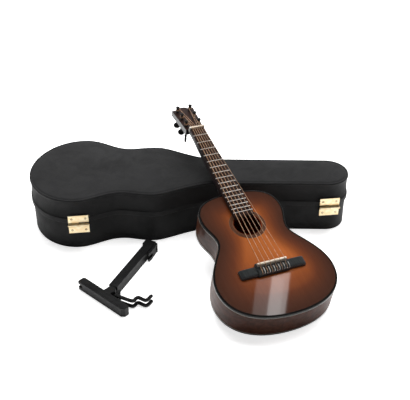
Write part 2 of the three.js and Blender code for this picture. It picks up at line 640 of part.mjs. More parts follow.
function buildStand(parent) {
  const S = STAND;
  const stand = new THREE.Group();
  stand.position.set(S.x, S.y, S.floorGap);
  stand.rotation.z = rad(S.turn);
  const across = S.lateral;
  const middle = across / 2;
  const earThick = (across - S.tongue) / 2 - GAP;

  // Base bar with a forked rear end, a chamfered front end and two ears round the pivot.
  const foot = new THREE.Group();
  foot.position.set(0, S.pivotS, 0);
  foot.rotation.z = rad(-S.baseSlope);
  const barTop = -S.earR - GAP;
  const bar = plate([
    V2(-S.baseRear, barTop - S.baseHeight), V2(S.baseFront - 2.5, barTop - S.baseHeight),
    V2(S.baseFront, barTop - S.baseHeight + 2.2), V2(S.baseFront, barTop - 1), V2(S.baseFront - 1, barTop),
    V2(-S.baseRear + 1, barTop), V2(-S.baseRear, barTop - 1),
  ], 0, across);
  const lug = (z0) => join(
    rodAlong("z", S.earR, z0, z0 + earThick, 20),
    boxAt(-S.earR, S.earR, barTop - 1, 0, z0, z0 + earThick),
  );
  const barBottom = barTop - S.baseHeight;
  const rear = -S.baseRear;
  const notch = boxAt(rear - 1, rear + 5, barBottom - 1, barTop + 1, middle - 1.2, middle + 1.2);
  const pinHole = rodAlong("z", S.pinR + S.pinPlay, -1, across + 1, 14);
  addPiece(foot, "stand_base", cut(join(bar, lug(0), lug(across - earThick)), notch, pinHole), "plastic");
  addPiece(foot, "stand_pivot_pin", rodAlong("z", S.pinR, 0, across, 14), "plastic");
  stand.add(foot);

  // Spine with a tongue between the ears, a raised rib, and lugs for the arms and the neck rest.
  const shoulder = S.pivotS + S.earR + GAP;
  const hubLug = S.armSpacing - 2 * S.armR - 2 * GAP;
  const restLug = 2.6;
  const spineTop = S.spineLength + 8;
  // A slab across the middle, as thick as given, and a round end for it.
  const slab = (n0, n1, s0, s1, thick) => boxAt(n0, n1, s0, s1, middle - thick / 2, middle + thick / 2);
  const rod = (n, s, r, z0, z1, sides) => rodAlong("z", r, z0, z1, sides).translate(n, s, 0);
  const round = (n, s, r, thick) => rod(n, s, r, middle - thick / 2, middle + thick / 2, 16);
  const through = (n, s, r) => rod(n, s, r, -1, across + 1, 12);
  const spine = cut(
    join(
      slab(-S.spineBack, S.spineFront, shoulder, spineTop, across),
      slab(-S.spineBack - 1.6, S.spineFront, S.spineLength, spineTop, across),
      round(0, S.pivotS, S.earR - 0.2, S.tongue),
      slab(-S.earR + 0.4, S.earR - 0.4, S.pivotS, shoulder + 1, S.tongue),
      slab(2, S.hubN, S.hubS - 1.6, S.hubS + 1.6, hubLug),
      round(S.hubN, S.hubS, S.hubR, hubLug),
      slab(0, S.restN, S.restS - S.restR, S.restS + S.restR, restLug),
      round(S.restN, S.restS, S.restR, restLug),
    ),
    through(0, S.pivotS, S.pinR + S.pinPlay),
    through(S.hubN, S.hubS, S.crossPinR + S.crossPlay),
    through(S.restN, S.restS, S.restPinR + S.crossPlay),
  );
  addPiece(stand, "stand_spine", spine, "plastic");

  // Cradle: a bent wire on each side of the hub, on one cross pin.
  const armPath = (z) => rounded([
    V3(S.hubN, S.hubS - 3.2, z), V3(22, -0.2, z), V3(22.3, 5.4, z), V3(30.9, 4.6, z), V3(31.6, 11, z),
  ], 1.5);
  for (const [side, z] of [["lower", middle - S.armSpacing / 2], ["upper", middle + S.armSpacing / 2]]) {
    const eye = rodAlong("z", 1.9, z - S.armR, z + S.armR, 14).translate(S.hubN, S.hubS, 0);
    const web = boxAt(S.hubN - 1, S.hubN + 1, S.hubS - 3.2, S.hubS, z - S.armR, z + S.armR);
    const hole = through(S.hubN, S.hubS, S.crossPinR + S.crossPlay);
    const arm = cut(join(tube(armPath(z), S.armR, 8), eye, web), hole);
    addPiece(stand, `${side}_cradle_arm`, arm, "plastic");
  }
  addPiece(stand, "cradle_pin", rod(S.hubN, S.hubS, S.crossPinR, 0, across, 12), "plastic");

  // Neck rest, folded down along the front of the spine: a yoke with two prongs.
  const { restN, restS, restR, restLength, restThick } = S;
  const yoke = plate([
    V2(-restThick / 2, 0), V2(restThick / 2, 0), V2(restThick / 2 + 0.8, -restLength * 0.75),
    V2(restThick / 2 + 0.4, -restLength), V2(-restThick / 2, -restLength + 1.5),
  ], 0, across);
  const eye = rodAlong("z", restR, 0, across, 16);
  const slot = boxAt(-5, 5, -restR - GAP - 0.4, 3, middle - restLug / 2 - GAP, middle + restLug / 2 + GAP);
  const gap = boxAt(-5, 5, -restLength - 1, -restLength + 8, middle - 1.7, middle + 1.7);
  const bore = rodAlong("z", S.restPinR + S.crossPlay, -1, across + 1, 12);
  addPiece(stand, "neck_rest", cut(join(yoke, eye), slot, gap, bore), "plastic", [restN, restS, 0]);
  addPiece(stand, "neck_rest_pin", rod(restN, restS, S.restPinR, 0, across, 12), "plastic");
  parent.add(stand);
}

const set = new THREE.Group();
buildCase(set);
buildHinges(set);
buildClasps(set);
buildHandle(set);
buildGuitar(set);
buildStand(set);

export default set;
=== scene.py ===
# A display miniature of an acoustic guitar leaning on its closed hard case, with its folding stand beside it.
# The dictionaries hold millimetres and degrees, apart from the camera's place and the lights, which are in
# metres. A mesh turns to metres when it is made.
import json
import math
import bpy
import bmesh
from mathutils import Matrix, Vector


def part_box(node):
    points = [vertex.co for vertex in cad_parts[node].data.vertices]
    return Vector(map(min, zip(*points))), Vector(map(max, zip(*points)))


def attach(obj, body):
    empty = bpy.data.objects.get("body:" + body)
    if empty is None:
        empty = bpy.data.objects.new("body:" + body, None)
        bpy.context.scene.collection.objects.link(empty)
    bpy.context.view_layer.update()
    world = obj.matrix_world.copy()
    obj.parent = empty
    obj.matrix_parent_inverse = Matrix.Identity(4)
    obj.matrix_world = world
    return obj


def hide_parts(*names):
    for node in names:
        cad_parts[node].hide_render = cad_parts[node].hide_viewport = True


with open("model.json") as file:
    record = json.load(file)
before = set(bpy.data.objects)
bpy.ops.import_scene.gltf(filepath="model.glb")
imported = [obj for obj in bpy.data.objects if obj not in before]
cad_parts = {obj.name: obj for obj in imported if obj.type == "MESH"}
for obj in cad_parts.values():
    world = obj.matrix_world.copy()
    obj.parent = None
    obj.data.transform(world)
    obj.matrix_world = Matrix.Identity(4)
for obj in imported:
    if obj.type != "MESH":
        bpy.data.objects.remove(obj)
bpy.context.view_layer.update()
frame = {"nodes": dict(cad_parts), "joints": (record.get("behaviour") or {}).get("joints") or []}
unit = 0.001
print("frame loaded")

view = {"place": (0.0263, -0.5888, 0.4146), "pitch": 56.0, "yaw": 1.2, "lens": 70.24}


def setCamera():
    camera = bpy.data.objects.new("camera", bpy.data.cameras.new("camera"))
    camera.data.lens = view["lens"]
    camera.data.sensor_width = 36.0
    camera.data.clip_start = 0.02
    camera.location = view["place"]
    camera.rotation_euler = (math.radians(view["pitch"]), 0, math.radians(view["yaw"]))
    bpy.context.collection.objects.link(camera)
    bpy.context.scene.camera = camera


setCamera()


def turned(axis, degrees):
    return Matrix.Rotation(math.radians(degrees), 4, axis)


def moved(x, y, z):
    return Matrix.Translation(Vector((x, y, z)) * unit)


lean = {"place": (83.2, -153.65, 23.4), "turn": 23.05, "back": 13.7, "roll": 0.8}
guitarPlace = moved(*lean["place"]) @ turned("Z", lean["turn"])
guitarPlace = guitarPlace @ turned("X", lean["back"]) @ turned("Y", lean["roll"])

# Patterns that several finishes share.


def addNode(tree, kind, inputs=None, **settings):
    node = tree.nodes.new(kind)
    for key, value in settings.items():
        setattr(node, key, value)
    for key, value in (inputs or {}).items():
        if isinstance(value, bpy.types.NodeSocket):
            tree.links.new(value, node.inputs[key])
        else:
            node.inputs[key].default_value = value
    return node


def doMath(tree, operation, a, b=0.5, clamp=False):
    node = addNode(tree, "ShaderNodeMath", {0: a, 1: b}, operation=operation, use_clamp=clamp)
    return node.outputs[0]


def spread(tree, value, low, high, outLow=0.0, outHigh=1.0):
    names = {"Value": value, "From Min": low, "From Max": high, "To Min": outLow, "To Max": outHigh}
    return addNode(tree, "ShaderNodeMapRange", names).outputs[0]


def newGroup(name, size):
    # Every pattern takes a place and a size, and gives a pattern for colour and a height for bump.
    group = bpy.data.node_groups.new(name, "ShaderNodeTree")
    group.interface.new_socket("Vector", in_out="INPUT", socket_type="NodeSocketVector")
    group.interface.new_socket("Size", in_out="INPUT", socket_type="NodeSocketFloat").default_value = size
    group.interface.new_socket("Pattern", in_out="OUTPUT", socket_type="NodeSocketFloat")
    group.interface.new_socket("Height", in_out="OUTPUT", socket_type="NodeSocketFloat")
    start = group.nodes.new("NodeGroupInput")
    end = group.nodes.new("NodeGroupOutput")
    return group, start.outputs["Vector"], start.outputs["Size"], end


def closeGroup(group, end, pattern, height):
    group.links.new(pattern, end.inputs["Pattern"])
    group.links.new(height, end.inputs["Height"])
    return group


def leatherGrain():
    # Pebbles with fine creases between them, and slow cloudy patches; the colour is darker in the creases,
    # which is painted shade.
    group, place, size, end = newGroup("leatherGrain", 1500)
    warp = addNode(group, "ShaderNodeTexNoise", {"Vector": place, "Scale": 900.0, "Detail": 2.0})
    shift = addNode(group, "ShaderNodeVectorMath", {0: warp.outputs["Color"], "Scale": 0.0006},
                    operation="SCALE")
    bent = addNode(group, "ShaderNodeVectorMath", {0: place, 1: shift.outputs[0]}, operation="ADD")
    cells = addNode(group, "ShaderNodeTexVoronoi", {"Vector": bent.outputs[0], "Scale": size},
                    feature="SMOOTH_F1")
    fine = addNode(group, "ShaderNodeTexNoise", {"Vector": place, "Scale": 4200.0, "Detail": 3.0})
    patches = addNode(group, "ShaderNodeTexNoise", {"Vector": place, "Scale": 26.0, "Detail": 5.0})
    pebble = doMath(group, "SUBTRACT", 1.0, cells.outputs["Distance"])
    height = doMath(group, "ADD", pebble, doMath(group, "MULTIPLY", fine.outputs[0], 0.25))
    # painted shade: the colour is made darker in the creases between the pebbles
    creaseShade = doMath(group, "MULTIPLY", cells.outputs["Distance"], 0.35)
    pattern = doMath(group, "SUBTRACT", spread(group, patches.outputs[0], 0.3, 0.7), creaseShade, True)
    return closeGroup(group, end, pattern, height)


def woodFigure():
    # Long fibres along Y, with slow figure and short open pores.
    group, place, size, end = newGroup("woodFigure", 420)
    along = addNode(group, "ShaderNodeVectorMath", {0: place, 1: (1.0, 0.035, 1.0)}, operation="MULTIPLY")
    rings = addNode(group, "ShaderNodeTexNoise",
                    {"Vector": along.outputs[0], "Scale": size, "Detail": 5.0, "Distortion": 0.7})
    slow = addNode(group, "ShaderNodeTexNoise",
                   {"Vector": place, "Scale": 34.0, "Detail": 3.0, "Distortion": 1.4})
    short = addNode(group, "ShaderNodeVectorMath", {0: place, 1: (1.0, 0.09, 1.0)}, operation="MULTIPLY")
    pores = addNode(group, "ShaderNodeTexNoise", {"Vector": short.outputs[0], "Scale": 2600.0, "Detail": 2.0})
    lines = spread(group, rings.outputs[0], 0.36, 0.64)
    figure = spread(group, slow.outputs[0], 0.3, 0.7)
    pattern = doMath(group, "ADD", doMath(group, "MULTIPLY", lines, 0.65),
                     doMath(group, "MULTIPLY", figure, 0.35))
    height = doMath(group, "MULTIPLY", spread(group, pores.outputs[0], 0.34, 0.52),
                    doMath(group, "ADD", lines, 1.0))
    return closeGroup(group, end, pattern, height)


def fabricPile():
    # Short brushed pile: tufts, and broad strokes where it lies the other way.
    group, place, size, end = newGroup("fabricPile", 2400)
    tufts = addNode(group, "ShaderNodeTexVoronoi", {"Vector": place, "Scale": size})
    strokes = addNode(group, "ShaderNodeTexNoise",
                      {"Vector": place, "Scale": 60.0, "Detail": 4.0, "Distortion": 2.2})
    pattern = spread(group, strokes.outputs[0], 0.35, 0.65)
    height = doMath(group, "ADD", doMath(group, "SUBTRACT", 1.0, tufts.outputs["Distance"]), pattern)
    return closeGroup(group, end, pattern, height)


def brushedMetal():
    # Fine scratches both ways across a plated surface, with dull cloudy spots.
    group, place, size, end = newGroup("brushedMetal", 900)
    lines = []
    for squash in [(1.0, 0.05, 0.3), (0.06, 1.0, 1.0)]:
        across = addNode(group, "ShaderNodeVectorMath", {0: place, 1: squash}, operation="MULTIPLY")
        noise = addNode(group, "ShaderNodeTexNoise",
                        {"Vector": across.outputs[0], "Scale": size, "Detail": 6.0})
        lines.append(noise.outputs[0])
    spots = addNode(group, "ShaderNodeTexNoise", {"Vector": place, "Scale": 330.0, "Detail": 4.0})
    pattern = spread(group, spots.outputs[0], 0.35, 0.66)
    height = doMath(group, "ADD", lines[0], doMath(group, "MULTIPLY", lines[1], 0.5))
    return closeGroup(group, end, pattern, height)


def mouldedSkin():
    # The faint orange-peel of moulded plastic or sprayed lacquer, with flow clouds.
    group, place, size, end = newGroup("mouldedSkin", 1100)
    peel = addNode(group, "ShaderNodeTexNoise", {"Vector": place, "Scale": size, "Detail": 2.0})
    clouds = addNode(group, "ShaderNodeTexNoise",
                     {"Vector": place, "Scale": 70.0, "Detail": 4.0, "Distortion": 0.8})
    pattern = spread(group, clouds.outputs[0], 0.33, 0.67)
    return closeGroup(group, end, pattern, peel.outputs[0])


def handlingMarks():
    # Where hands and dust have dulled the surface. Height stays nearly flat.
    group, place, size, end = newGroup("handlingMarks", 55)
    smear = addNode(group, "ShaderNodeTexNoise",
                    {"Vector": place, "Scale": size, "Detail": 6.0, "Distortion": 1.1})
    specks = addNode(group, "ShaderNodeTexVoronoi", {"Vector": place, "Scale": 420.0, "Randomness": 1.0})
    dust = spread(group, specks.outputs["Distance"], 0.16, 0.02)
    smudge = spread(group, smear.outputs[0], 0.4, 0.72)
    pattern = doMath(group, "ADD", smudge, doMath(group, "MULTIPLY", dust, 0.4), True)
    return closeGroup(group, end, pattern, dust)


patterns = {make.__name__: make()
            for make in [leatherGrain, woodFigure, fabricPile, brushedMetal, mouldedSkin]}
marks = handlingMarks()

# Each finish: its pattern, darkest and lightest colour, roughness from clean to handled, bump in millimetres.
finishes = {
    "leatherette": {"pattern": "leatherGrain", "size": 1500, "dark": (0.0145, 0.0145, 0.0148),
                    "light": (0.0215, 0.0215, 0.0222), "rough": (0.5, 0.66), "bump": 0.10, "specular": 0.24},
    "plush": {"pattern": "fabricPile", "size": 2400, "dark": (0.10, 0.008, 0.016),
              "light": (0.23, 0.02, 0.04), "rough": (0.9, 1.0), "bump": 0.35, "specular": 0.1, "sheen": 0.6},
    "brass": {"pattern": "brushedMetal", "size": 900, "dark": (0.97, 0.74, 0.42), "light": (1.0, 0.88, 0.62),
              "rough": (0.3, 0.5), "bump": 0.008, "metallic": 1.0},
    "steel": {"pattern": "brushedMetal", "size": 1300, "dark": (0.34, 0.26, 0.16), "light": (0.6, 0.47, 0.3),
              "rough": (0.3, 0.5), "bump": 0.01, "metallic": 0.9},
    # The sunburst ramp is read along the top's edge number, which also holds painted light and shade.
    "sunburst": {"pattern": "woodFigure", "size": 620, "dark": (0.86, 0.82, 0.78), "light": (1.0, 1.0, 1.0),
                 "rough": (0.3, 0.42), "bump": 0.01, "coat": 1.0, "coatRough": 0.035, "specular": 0.2,
                 "ramp": [(0.0, (0.038, 0.013, 0.007)), (0.2, (0.06, 0.018, 0.008)),
                          (0.45, (0.10, 0.025, 0.007)), (0.7, (0.20, 0.046, 0.007)),
                          (1.0, (0.39, 0.10, 0.014))]},
    "sides": {"pattern": "woodFigure", "size": 260, "dark": (0.10, 0.036, 0.02), "light": (0.20, 0.07, 0.038),
              "rough": (0.3, 0.45), "bump": 0.012, "coat": 0.3, "coatRough": 0.05, "specular": 0.15},
    "interior": {"pattern": "woodFigure", "size": 380, "dark": (0.30, 0.034, 0.014),
                 "light": (0.5, 0.068, 0.026), "rough": (0.7, 0.85), "bump": 0.03, "specular": 0.1},
    "blackBinding": {"pattern": "mouldedSkin", "size": 900, "dark": (0.003, 0.003, 0.003),
                     "light": (0.006, 0.006, 0.005), "rough": (0.2, 0.3), "bump": 0.005, "coat": 0.5,
                     "coatRough": 0.05, "specular": 0.2},
    "paleLine": {"pattern": "mouldedSkin", "size": 900, "dark": (0.62, 0.59, 0.53),
                 "light": (0.85, 0.8, 0.73), "rough": (0.3, 0.4), "bump": 0.005, "coat": 0.4,
                 "coatRough": 0.1},
    "inlay": {"pattern": "woodFigure", "size": 900, "dark": (0.72, 0.66, 0.6), "light": (1.0, 1.0, 1.0),
              "rough": (0.3, 0.4), "bump": 0.01, "coat": 1.0, "coatRough": 0.05,
              "ramp": [(0.0, (0.16, 0.08, 0.035)), (0.13, (0.16, 0.08, 0.035)), (0.17, (0.022, 0.009, 0.006)),
                       (0.27, (0.022, 0.009, 0.006)), (0.32, (0.085, 0.03, 0.012)),
                       (0.72, (0.10, 0.033, 0.012)), (0.76, (0.018, 0.008, 0.005)),
                       (0.87, (0.018, 0.008, 0.005)), (0.92, (0.16, 0.07, 0.028))]},
    "neckWood": {"pattern": "woodFigure", "size": 300, "dark": (0.004, 0.003, 0.003),
                 "light": (0.009, 0.006, 0.0055), "rough": (0.3, 0.45), "bump": 0.012, "coat": 0.8,
                 "coatRough": 0.08, "specular": 0.25},
    "headVeneer": {"pattern": "woodFigure", "size": 500, "dark": (0.018, 0.009, 0.008),
                   "light": (0.034, 0.018, 0.015), "rough": (0.3, 0.45), "bump": 0.012, "coat": 0.8,
                   "coatRough": 0.14},
    "fingerboard": {"pattern": "woodFigure", "size": 460, "dark": (0.009, 0.0045, 0.0035),
                    "light": (0.026, 0.012, 0.009), "rough": (0.42, 0.58), "bump": 0.05, "specular": 0.25},
    "fretWire": {"pattern": "brushedMetal", "size": 1500, "dark": (0.9, 0.86, 0.8),
                 "light": (1.0, 0.98, 0.95), "rough": (0.22, 0.36), "bump": 0.006, "metallic": 0.1},
    "bone": {"pattern": "mouldedSkin", "size": 500, "dark": (0.72, 0.62, 0.5), "light": (0.9, 0.82, 0.7),
             "rough": (0.3, 0.42), "bump": 0.01, "coat": 0.3, "coatRough": 0.15},
    "bridgeBlack": {"pattern": "woodFigure", "size": 700, "dark": (0.008, 0.009, 0.0095),
                    "light": (0.024, 0.027, 0.027), "rough": (0.3, 0.44), "bump": 0.03, "specular": 0.5},
    "pegWood": {"pattern": "woodFigure", "size": 800, "dark": (0.004, 0.0035, 0.0035),
                "light": (0.012, 0.010, 0.009), "rough": (0.3, 0.4), "bump": 0.01, "specular": 0.45},
    "woundString": {"pattern": "brushedMetal", "size": 3200, "dark": (0.40, 0.22, 0.12),
                    "light": (0.64, 0.40, 0.25), "rough": (0.3, 0.4), "bump": 0.02, "metallic": 0.3},
    "plainString": {"pattern": "brushedMetal", "size": 1500, "dark": (0.44, 0.26, 0.16),
                    "light": (0.68, 0.45, 0.3), "rough": (0.2, 0.32), "bump": 0.004, "metallic": 0.3},
    "stringTie": {"pattern": "brushedMetal", "size": 1500, "dark": (0.66, 0.64, 0.6),
                  "light": (0.95, 0.92, 0.9), "rough": (0.3, 0.42), "bump": 0.004, "metallic": 0.2},
    "plastic": {"pattern": "mouldedSkin", "size": 1100, "dark": (0.0075, 0.0075, 0.0077),
                "light": (0.0135, 0.0135, 0.0138), "rough": (0.42, 0.55), "bump": 0.03, "specular": 0.35},
}


def makeFinish(name, values):
    material = bpy.data.materials.new(name)
    material.use_nodes = True
    tree = material.node_tree
    shader = tree.nodes["Principled BSDF"]
    place = addNode(tree, "ShaderNodeTexCoord").outputs["Object"]
    if values["pattern"] == "woodFigure":  # the fibres run with the guitar's neck
        along = {"Vector": place, "Location": guitarPlace.to_translation(), "Rotation": guitarPlace.to_euler()}
        place = addNode(tree, "ShaderNodeMapping", along, vector_type="TEXTURE").outputs[0]
    pattern = addNode(tree, "ShaderNodeGroup", node_tree=patterns[values["pattern"]])
    tree.links.new(place, pattern.inputs["Vector"])
    pattern.inputs["Size"].default_value = values["size"]
    handled = addNode(tree, "ShaderNodeGroup", node_tree=marks)
    tree.links.new(place, handled.inputs["Vector"])

    tint = addNode(tree, "ShaderNodeMix", {"Factor": pattern.outputs["Pattern"], "A": (*values["dark"], 1),
                                           "B": (*values["light"], 1)}, data_type="RGBA")
    colour = tint.outputs["Result"]
    if "ramp" in values:  # stain that follows the piece's own edge attribute; on the guitar top that attribute also holds painted light and shade
        edge = addNode(tree, "ShaderNodeAttribute", attribute_name="edge")
        ramp = addNode(tree, "ShaderNodeValToRGB", {"Fac": edge.outputs["Fac"]})
        while len(ramp.color_ramp.elements) < len(values["ramp"]):
            ramp.color_ramp.elements.new(1.0)
        for element, (position, tone) in zip(ramp.color_ramp.elements, values["ramp"]):
            element.position = position
            element.color = (*tone, 1)
        stained = addNode(tree, "ShaderNodeMix", {"Factor": 1.0, "A": ramp.outputs["Color"], "B": colour},
                          data_type="RGBA", blend_type="MULTIPLY")
        colour = stained.outputs["Result"]
    tree.links.new(colour, shader.inputs["Base Color"])
    clean, worn = values["rough"]
    tree.links.new(spread(tree, handled.outputs["Pattern"], 0.0, 1.0, clean, worn),
                   shader.inputs["Roughness"])
    bump = addNode(tree, "ShaderNodeBump",
                   {"Height": pattern.outputs["Height"], "Distance": values["bump"] * unit})
    tree.links.new(bump.outputs["Normal"], shader.inputs["Normal"])
    shader.inputs["Metallic"].default_value = values.get("metallic", 0.0)
    shader.inputs["Specular IOR Level"].default_value = values.get("specular", 0.5)
    shader.inputs["Coat Weight"].default_value = values.get("coat", 0.0)
    shader.inputs["Coat Roughness"].default_value = values.get("coatRough", 0.03)
    shader.inputs["Sheen Weight"].default_value = values.get("sheen", 0.0)
    return material


paint = {name: makeFinish(name, values) for name, values in finishes.items()}
print("finishes mixed:", len(paint))

# Mesh making.


def soften(piece, width, steps):
    edge = piece.modifiers.new("soften", "BEVEL")
    edge.width = width * unit
    edge.segments = steps
    edge.limit_method = "ANGLE"
    edge.angle_limit = math.radians(32)
    edge.harden_normals = True


def makePiece(name, form, finish, bodyName, stands="", place=Matrix(), bevel=0.0, steps=2,
              angle=40, inner=None, edge=None):
    # form is (points, faces). inner is (finish, test): faces whose number, middle and normal pass the test take
    # that finish. edge gives each point a number for a finish with a ramp.
    points, faces = form
    mesh = bpy.data.meshes.new(name)
    mesh.from_pydata([Vector(p) * unit for p in points], [], faces)
    work = bmesh.new()
    work.from_mesh(mesh)
    bmesh.ops.remove_doubles(work, verts=work.verts, dist=1e-7)
    bmesh.ops.dissolve_degenerate(work, edges=work.edges, dist=1e-7)
    bmesh.ops.recalc_face_normals(work, faces=work.faces)
    work.to_mesh(mesh)
    work.free()
    mesh.materials.append(paint[finish])
    if inner:
        mesh.materials.append(paint[inner[0]])
        for face in mesh.polygons:
            face.material_index = 1 if inner[1](face.index, face.center / unit, face.normal) else 0
    if edge:
        layer = mesh.attributes.new("edge", "FLOAT", "POINT")
        layer.data.foreach_set("value", [edge(v.co / unit) for v in mesh.vertices])
    mesh.polygons.foreach_set("use_smooth", [True] * len(mesh.polygons))
    mesh.set_sharp_from_angle(angle=math.radians(angle))
    mesh.transform(place)
    piece = bpy.data.objects.new(name, mesh)
    bpy.context.collection.objects.link(piece)
    if bevel:
        soften(piece, bevel, steps)
    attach(piece, bodyName)
    if stands:
        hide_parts(stands)
    return piece


def together(*forms):
    points, faces = [], []
    for formPoints, formFaces in forms:
        start = len(points)
        points += list(formPoints)
        faces += [[i + start for i in face] for face in formFaces]
    return points, faces


def shifted(form, x, y, z):
    return [Vector(p) + Vector((x, y, z)) for p in form[0]], form[1]


def spun(form, axis, degrees):
    turn = Matrix.Rotation(math.radians(degrees), 3, axis)
    return [turn @ Vector(p) for p in form[0]], form[1]


def skin(rings, loop=False):
    # Rings of equal length joined by quads. Unless they loop, the first and last are closed with one face.
    sides = len(rings[0])
    points = [p for ring in rings for p in ring]
    faces = []
    last = len(rings) if loop else len(rings) - 1
    for r in range(last):
        for i in range(sides):
            j = (i + 1) % sides
            a, b = r * sides, ((r + 1) % len(rings)) * sides
            faces.append([a + i, a + j, b + j, b + i])
    if not loop:
        faces.append(list(range(sides))[::-1])
        faces.append([(len(rings) - 1) * sides + i for i in range(sides)])
    return points, faces


def slab(x0, x1, y0, y1, z0, z1):
    ring = [(x0, y0), (x1, y0), (x1, y1), (x0, y1)]
    return skin([[(x, y, z) for x, y in ring] for z in (z0, z1)])


def extruded(outline, z0, z1, axis="z"):
    # An outline in the plane across the axis: (x, y), (y, z) or (x, z).
    order = {"z": lambda a, b, h: (a, b, h), "x": lambda a, b, h: (h, a, b), "y": lambda a, b,
             h: (a, h, b)}[axis]
    return skin([[order(a, b, h) for a, b in outline] for h in (z0, z1)])


def lathe(profile, sides=32, axis="z"):
    # profile is (radius, height) from one end of the axis to the other.
    rings = []
    for radius, height in profile:
        angles = [2 * math.pi * i / sides for i in range(sides)]
        flat = [(radius * math.cos(a), radius * math.sin(a)) for a in angles]
        order = {"z": lambda a, b: (a, b, height), "x": lambda a, b: (height, a, b), "y": lambda a,
                 b: (b, height, a)}
        rings.append([order[axis](a, b) for a, b in flat])
    return skin(rings)


def rod(radius, low, high, axis="z", sides=24, soft=0.12):
    # A pin or barrel with its ends eased by soft.
    ends = [(radius - soft, low), (radius, low + soft), (radius, high - soft), (radius - soft, high)]
    return lathe([(0.001, low)] + ends + [(0.001, high)], sides, axis)


def circle(x, y, radius, count, start=0.0, sweep=360.0):
    whole = abs(sweep) >= 360
    steps = count if whole else count - 1
    angles = [math.radians(start + sweep * i / steps) for i in range(count)]
    return [(x + radius * math.cos(a), y + radius * math.sin(a)) for a in angles]


def roundedBox(x0, x1, y0, y1, radius, count=5):
    corners = [(x1 - radius, y0 + radius, 270), (x1 - radius, y1 - radius, 0), (x0 + radius, y1 - radius, 90),
               (x0 + radius, y0 + radius, 180)]
    return [p for x, y, start in corners for p in circle(x, y, radius, count, start, 90)]


def bezier(a, b, c, d, count):
    out = []
    for i in range(1, count + 1):
        t = i / count
        weights = [(1 - t) ** 3, 3 * t * (1 - t) ** 2, 3 * t * t * (1 - t), t ** 3]
        out.append(tuple(sum(w * p[k] for w, p in zip(weights, (a, b, c, d))) for k in range(len(a))))
    return out


def smoothLine(points, count=8):
    # A smooth line through the given points.
    out = [Vector(points[0])]
    for i in range(len(points) - 1):
        before, a, b = Vector(points[max(i - 1, 0)]), Vector(points[i]), Vector(points[i + 1])
        after = Vector(points[min(i + 2, len(points) - 1)])
        reach = (b - a).length / 3
        start = a + (b - before).normalized() * reach
        end = b - (after - a).normalized() * reach
        out += [Vector(p) for p in bezier(a, start, end, b, count)]
    return out


def tube(points, radius, sides=12, domed=True):
    # radius is one number, or one for each point. The frame is carried along so that it never twists.
    points = [Vector(p) for p in points]
    radii = radius if isinstance(radius, list) else [radius] * len(points)
    if domed:
        first = (points[0] - points[1]).normalized()
        last = (points[-1] - points[-2]).normalized()
        steps = [(0.5, 0.87), (0.87, 0.5), (0.995, 0.08)]
        points = ([points[0] + first * radii[0] * a for a, _ in reversed(steps)] + points
                  + [points[-1] + last * radii[-1] * a for a, _ in steps])
        radii = [radii[0] * b for _, b in reversed(steps)] + radii + [radii[-1] * b for _, b in steps]
    along = (points[1] - points[0]).normalized()
    side = along.orthogonal().normalized()
    rings = []
    for i, (p, r) in enumerate(zip(points, radii)):
        ahead = points[min(i + 1, len(points) - 1)] - points[max(i - 1, 0)]
        now = ahead.normalized()
        side = (side - now * side.dot(now)).normalized()
        other = now.cross(side)
        angles = [2 * math.pi * k / sides for k in range(sides)]
        rings.append([p + (side * math.cos(a) + other * math.sin(a)) * r for a in angles])
    return skin(rings)


def insetLine(points, distance):
    # A counter-clockwise closed outline moved inwards.
    out = []
    for i, (x, y) in enumerate(points):
        bx, by = points[i - 1]
        ax, ay = points[(i + 1) % len(points)]
        length = math.hypot(ax - bx, ay - by)
        out.append((x - (ay - by) / length * distance, y + (ax - bx) / length * distance))
    return out


def swept(outline, profile, loop=False):
    # profile is (inset, height) pairs.
    return skin([[(x, y, z) for x, y in insetLine(outline, inset)] for inset, z in profile], loop)


def arcSteps(cx, cz, radius, start, end, count=5):
    return circle(cx, cz, radius, count, start, end - start)


# The case.

case = {
    "halfLength": 137, "height": 48.5, "seam": 26.0, "wall": 1.9, "gap": 0.15,
    "lower": (-95, 49.4), "waist": (-54.5, 35.5), "upper": (-29.5, 38.2), "neck": (27.5, 19), "cornerR": 18,
    "rim": 0.7, "rimHeight": 2.2, "lip": 1.1, "lipHeight": 4.5, "baseInset": 0.2,
    "liningGap": 0.5, "liningLift": 0.3, "bends": (27, -118, -79, -71, -47, -42, -17, 3),
    "smoothness": 26,
}


def caseOutline():
    c, n, L = case, case["smoothness"], case["halfLength"]
    (lx, lh), (wx, wh), (ux, uh), (nx, nh) = c["lower"], c["waist"], c["upper"], c["neck"]
    endPull, intoLower, fromLower, intoWaist, fromWaist, intoUpper, fromUpper, intoNeck = c["bends"]
    half = [(-L, 0)]
    half += bezier((-L, 0), (-L, endPull), (intoLower, lh), (lx, lh), n)
    half += bezier((lx, lh), (fromLower, lh), (intoWaist, wh), (wx, wh), n)
    half += bezier((wx, wh), (fromWaist, wh), (intoUpper, uh), (ux, uh), n)
    half += bezier((ux, uh), (fromUpper, uh), (intoNeck, nh), (nx, nh), n)
    r = c["cornerR"]
    half += [(nx + (L - r - nx) * i / 12, nh) for i in range(1, 12)]
    half += circle(L - r, nh - r, r, 16, 90, -90)
    half.append((L, 0))
    other = [(x, -y) for x, y in half[1:-1]][::-1]
    return (half + other)[::-1]


caseLine = caseOutline()


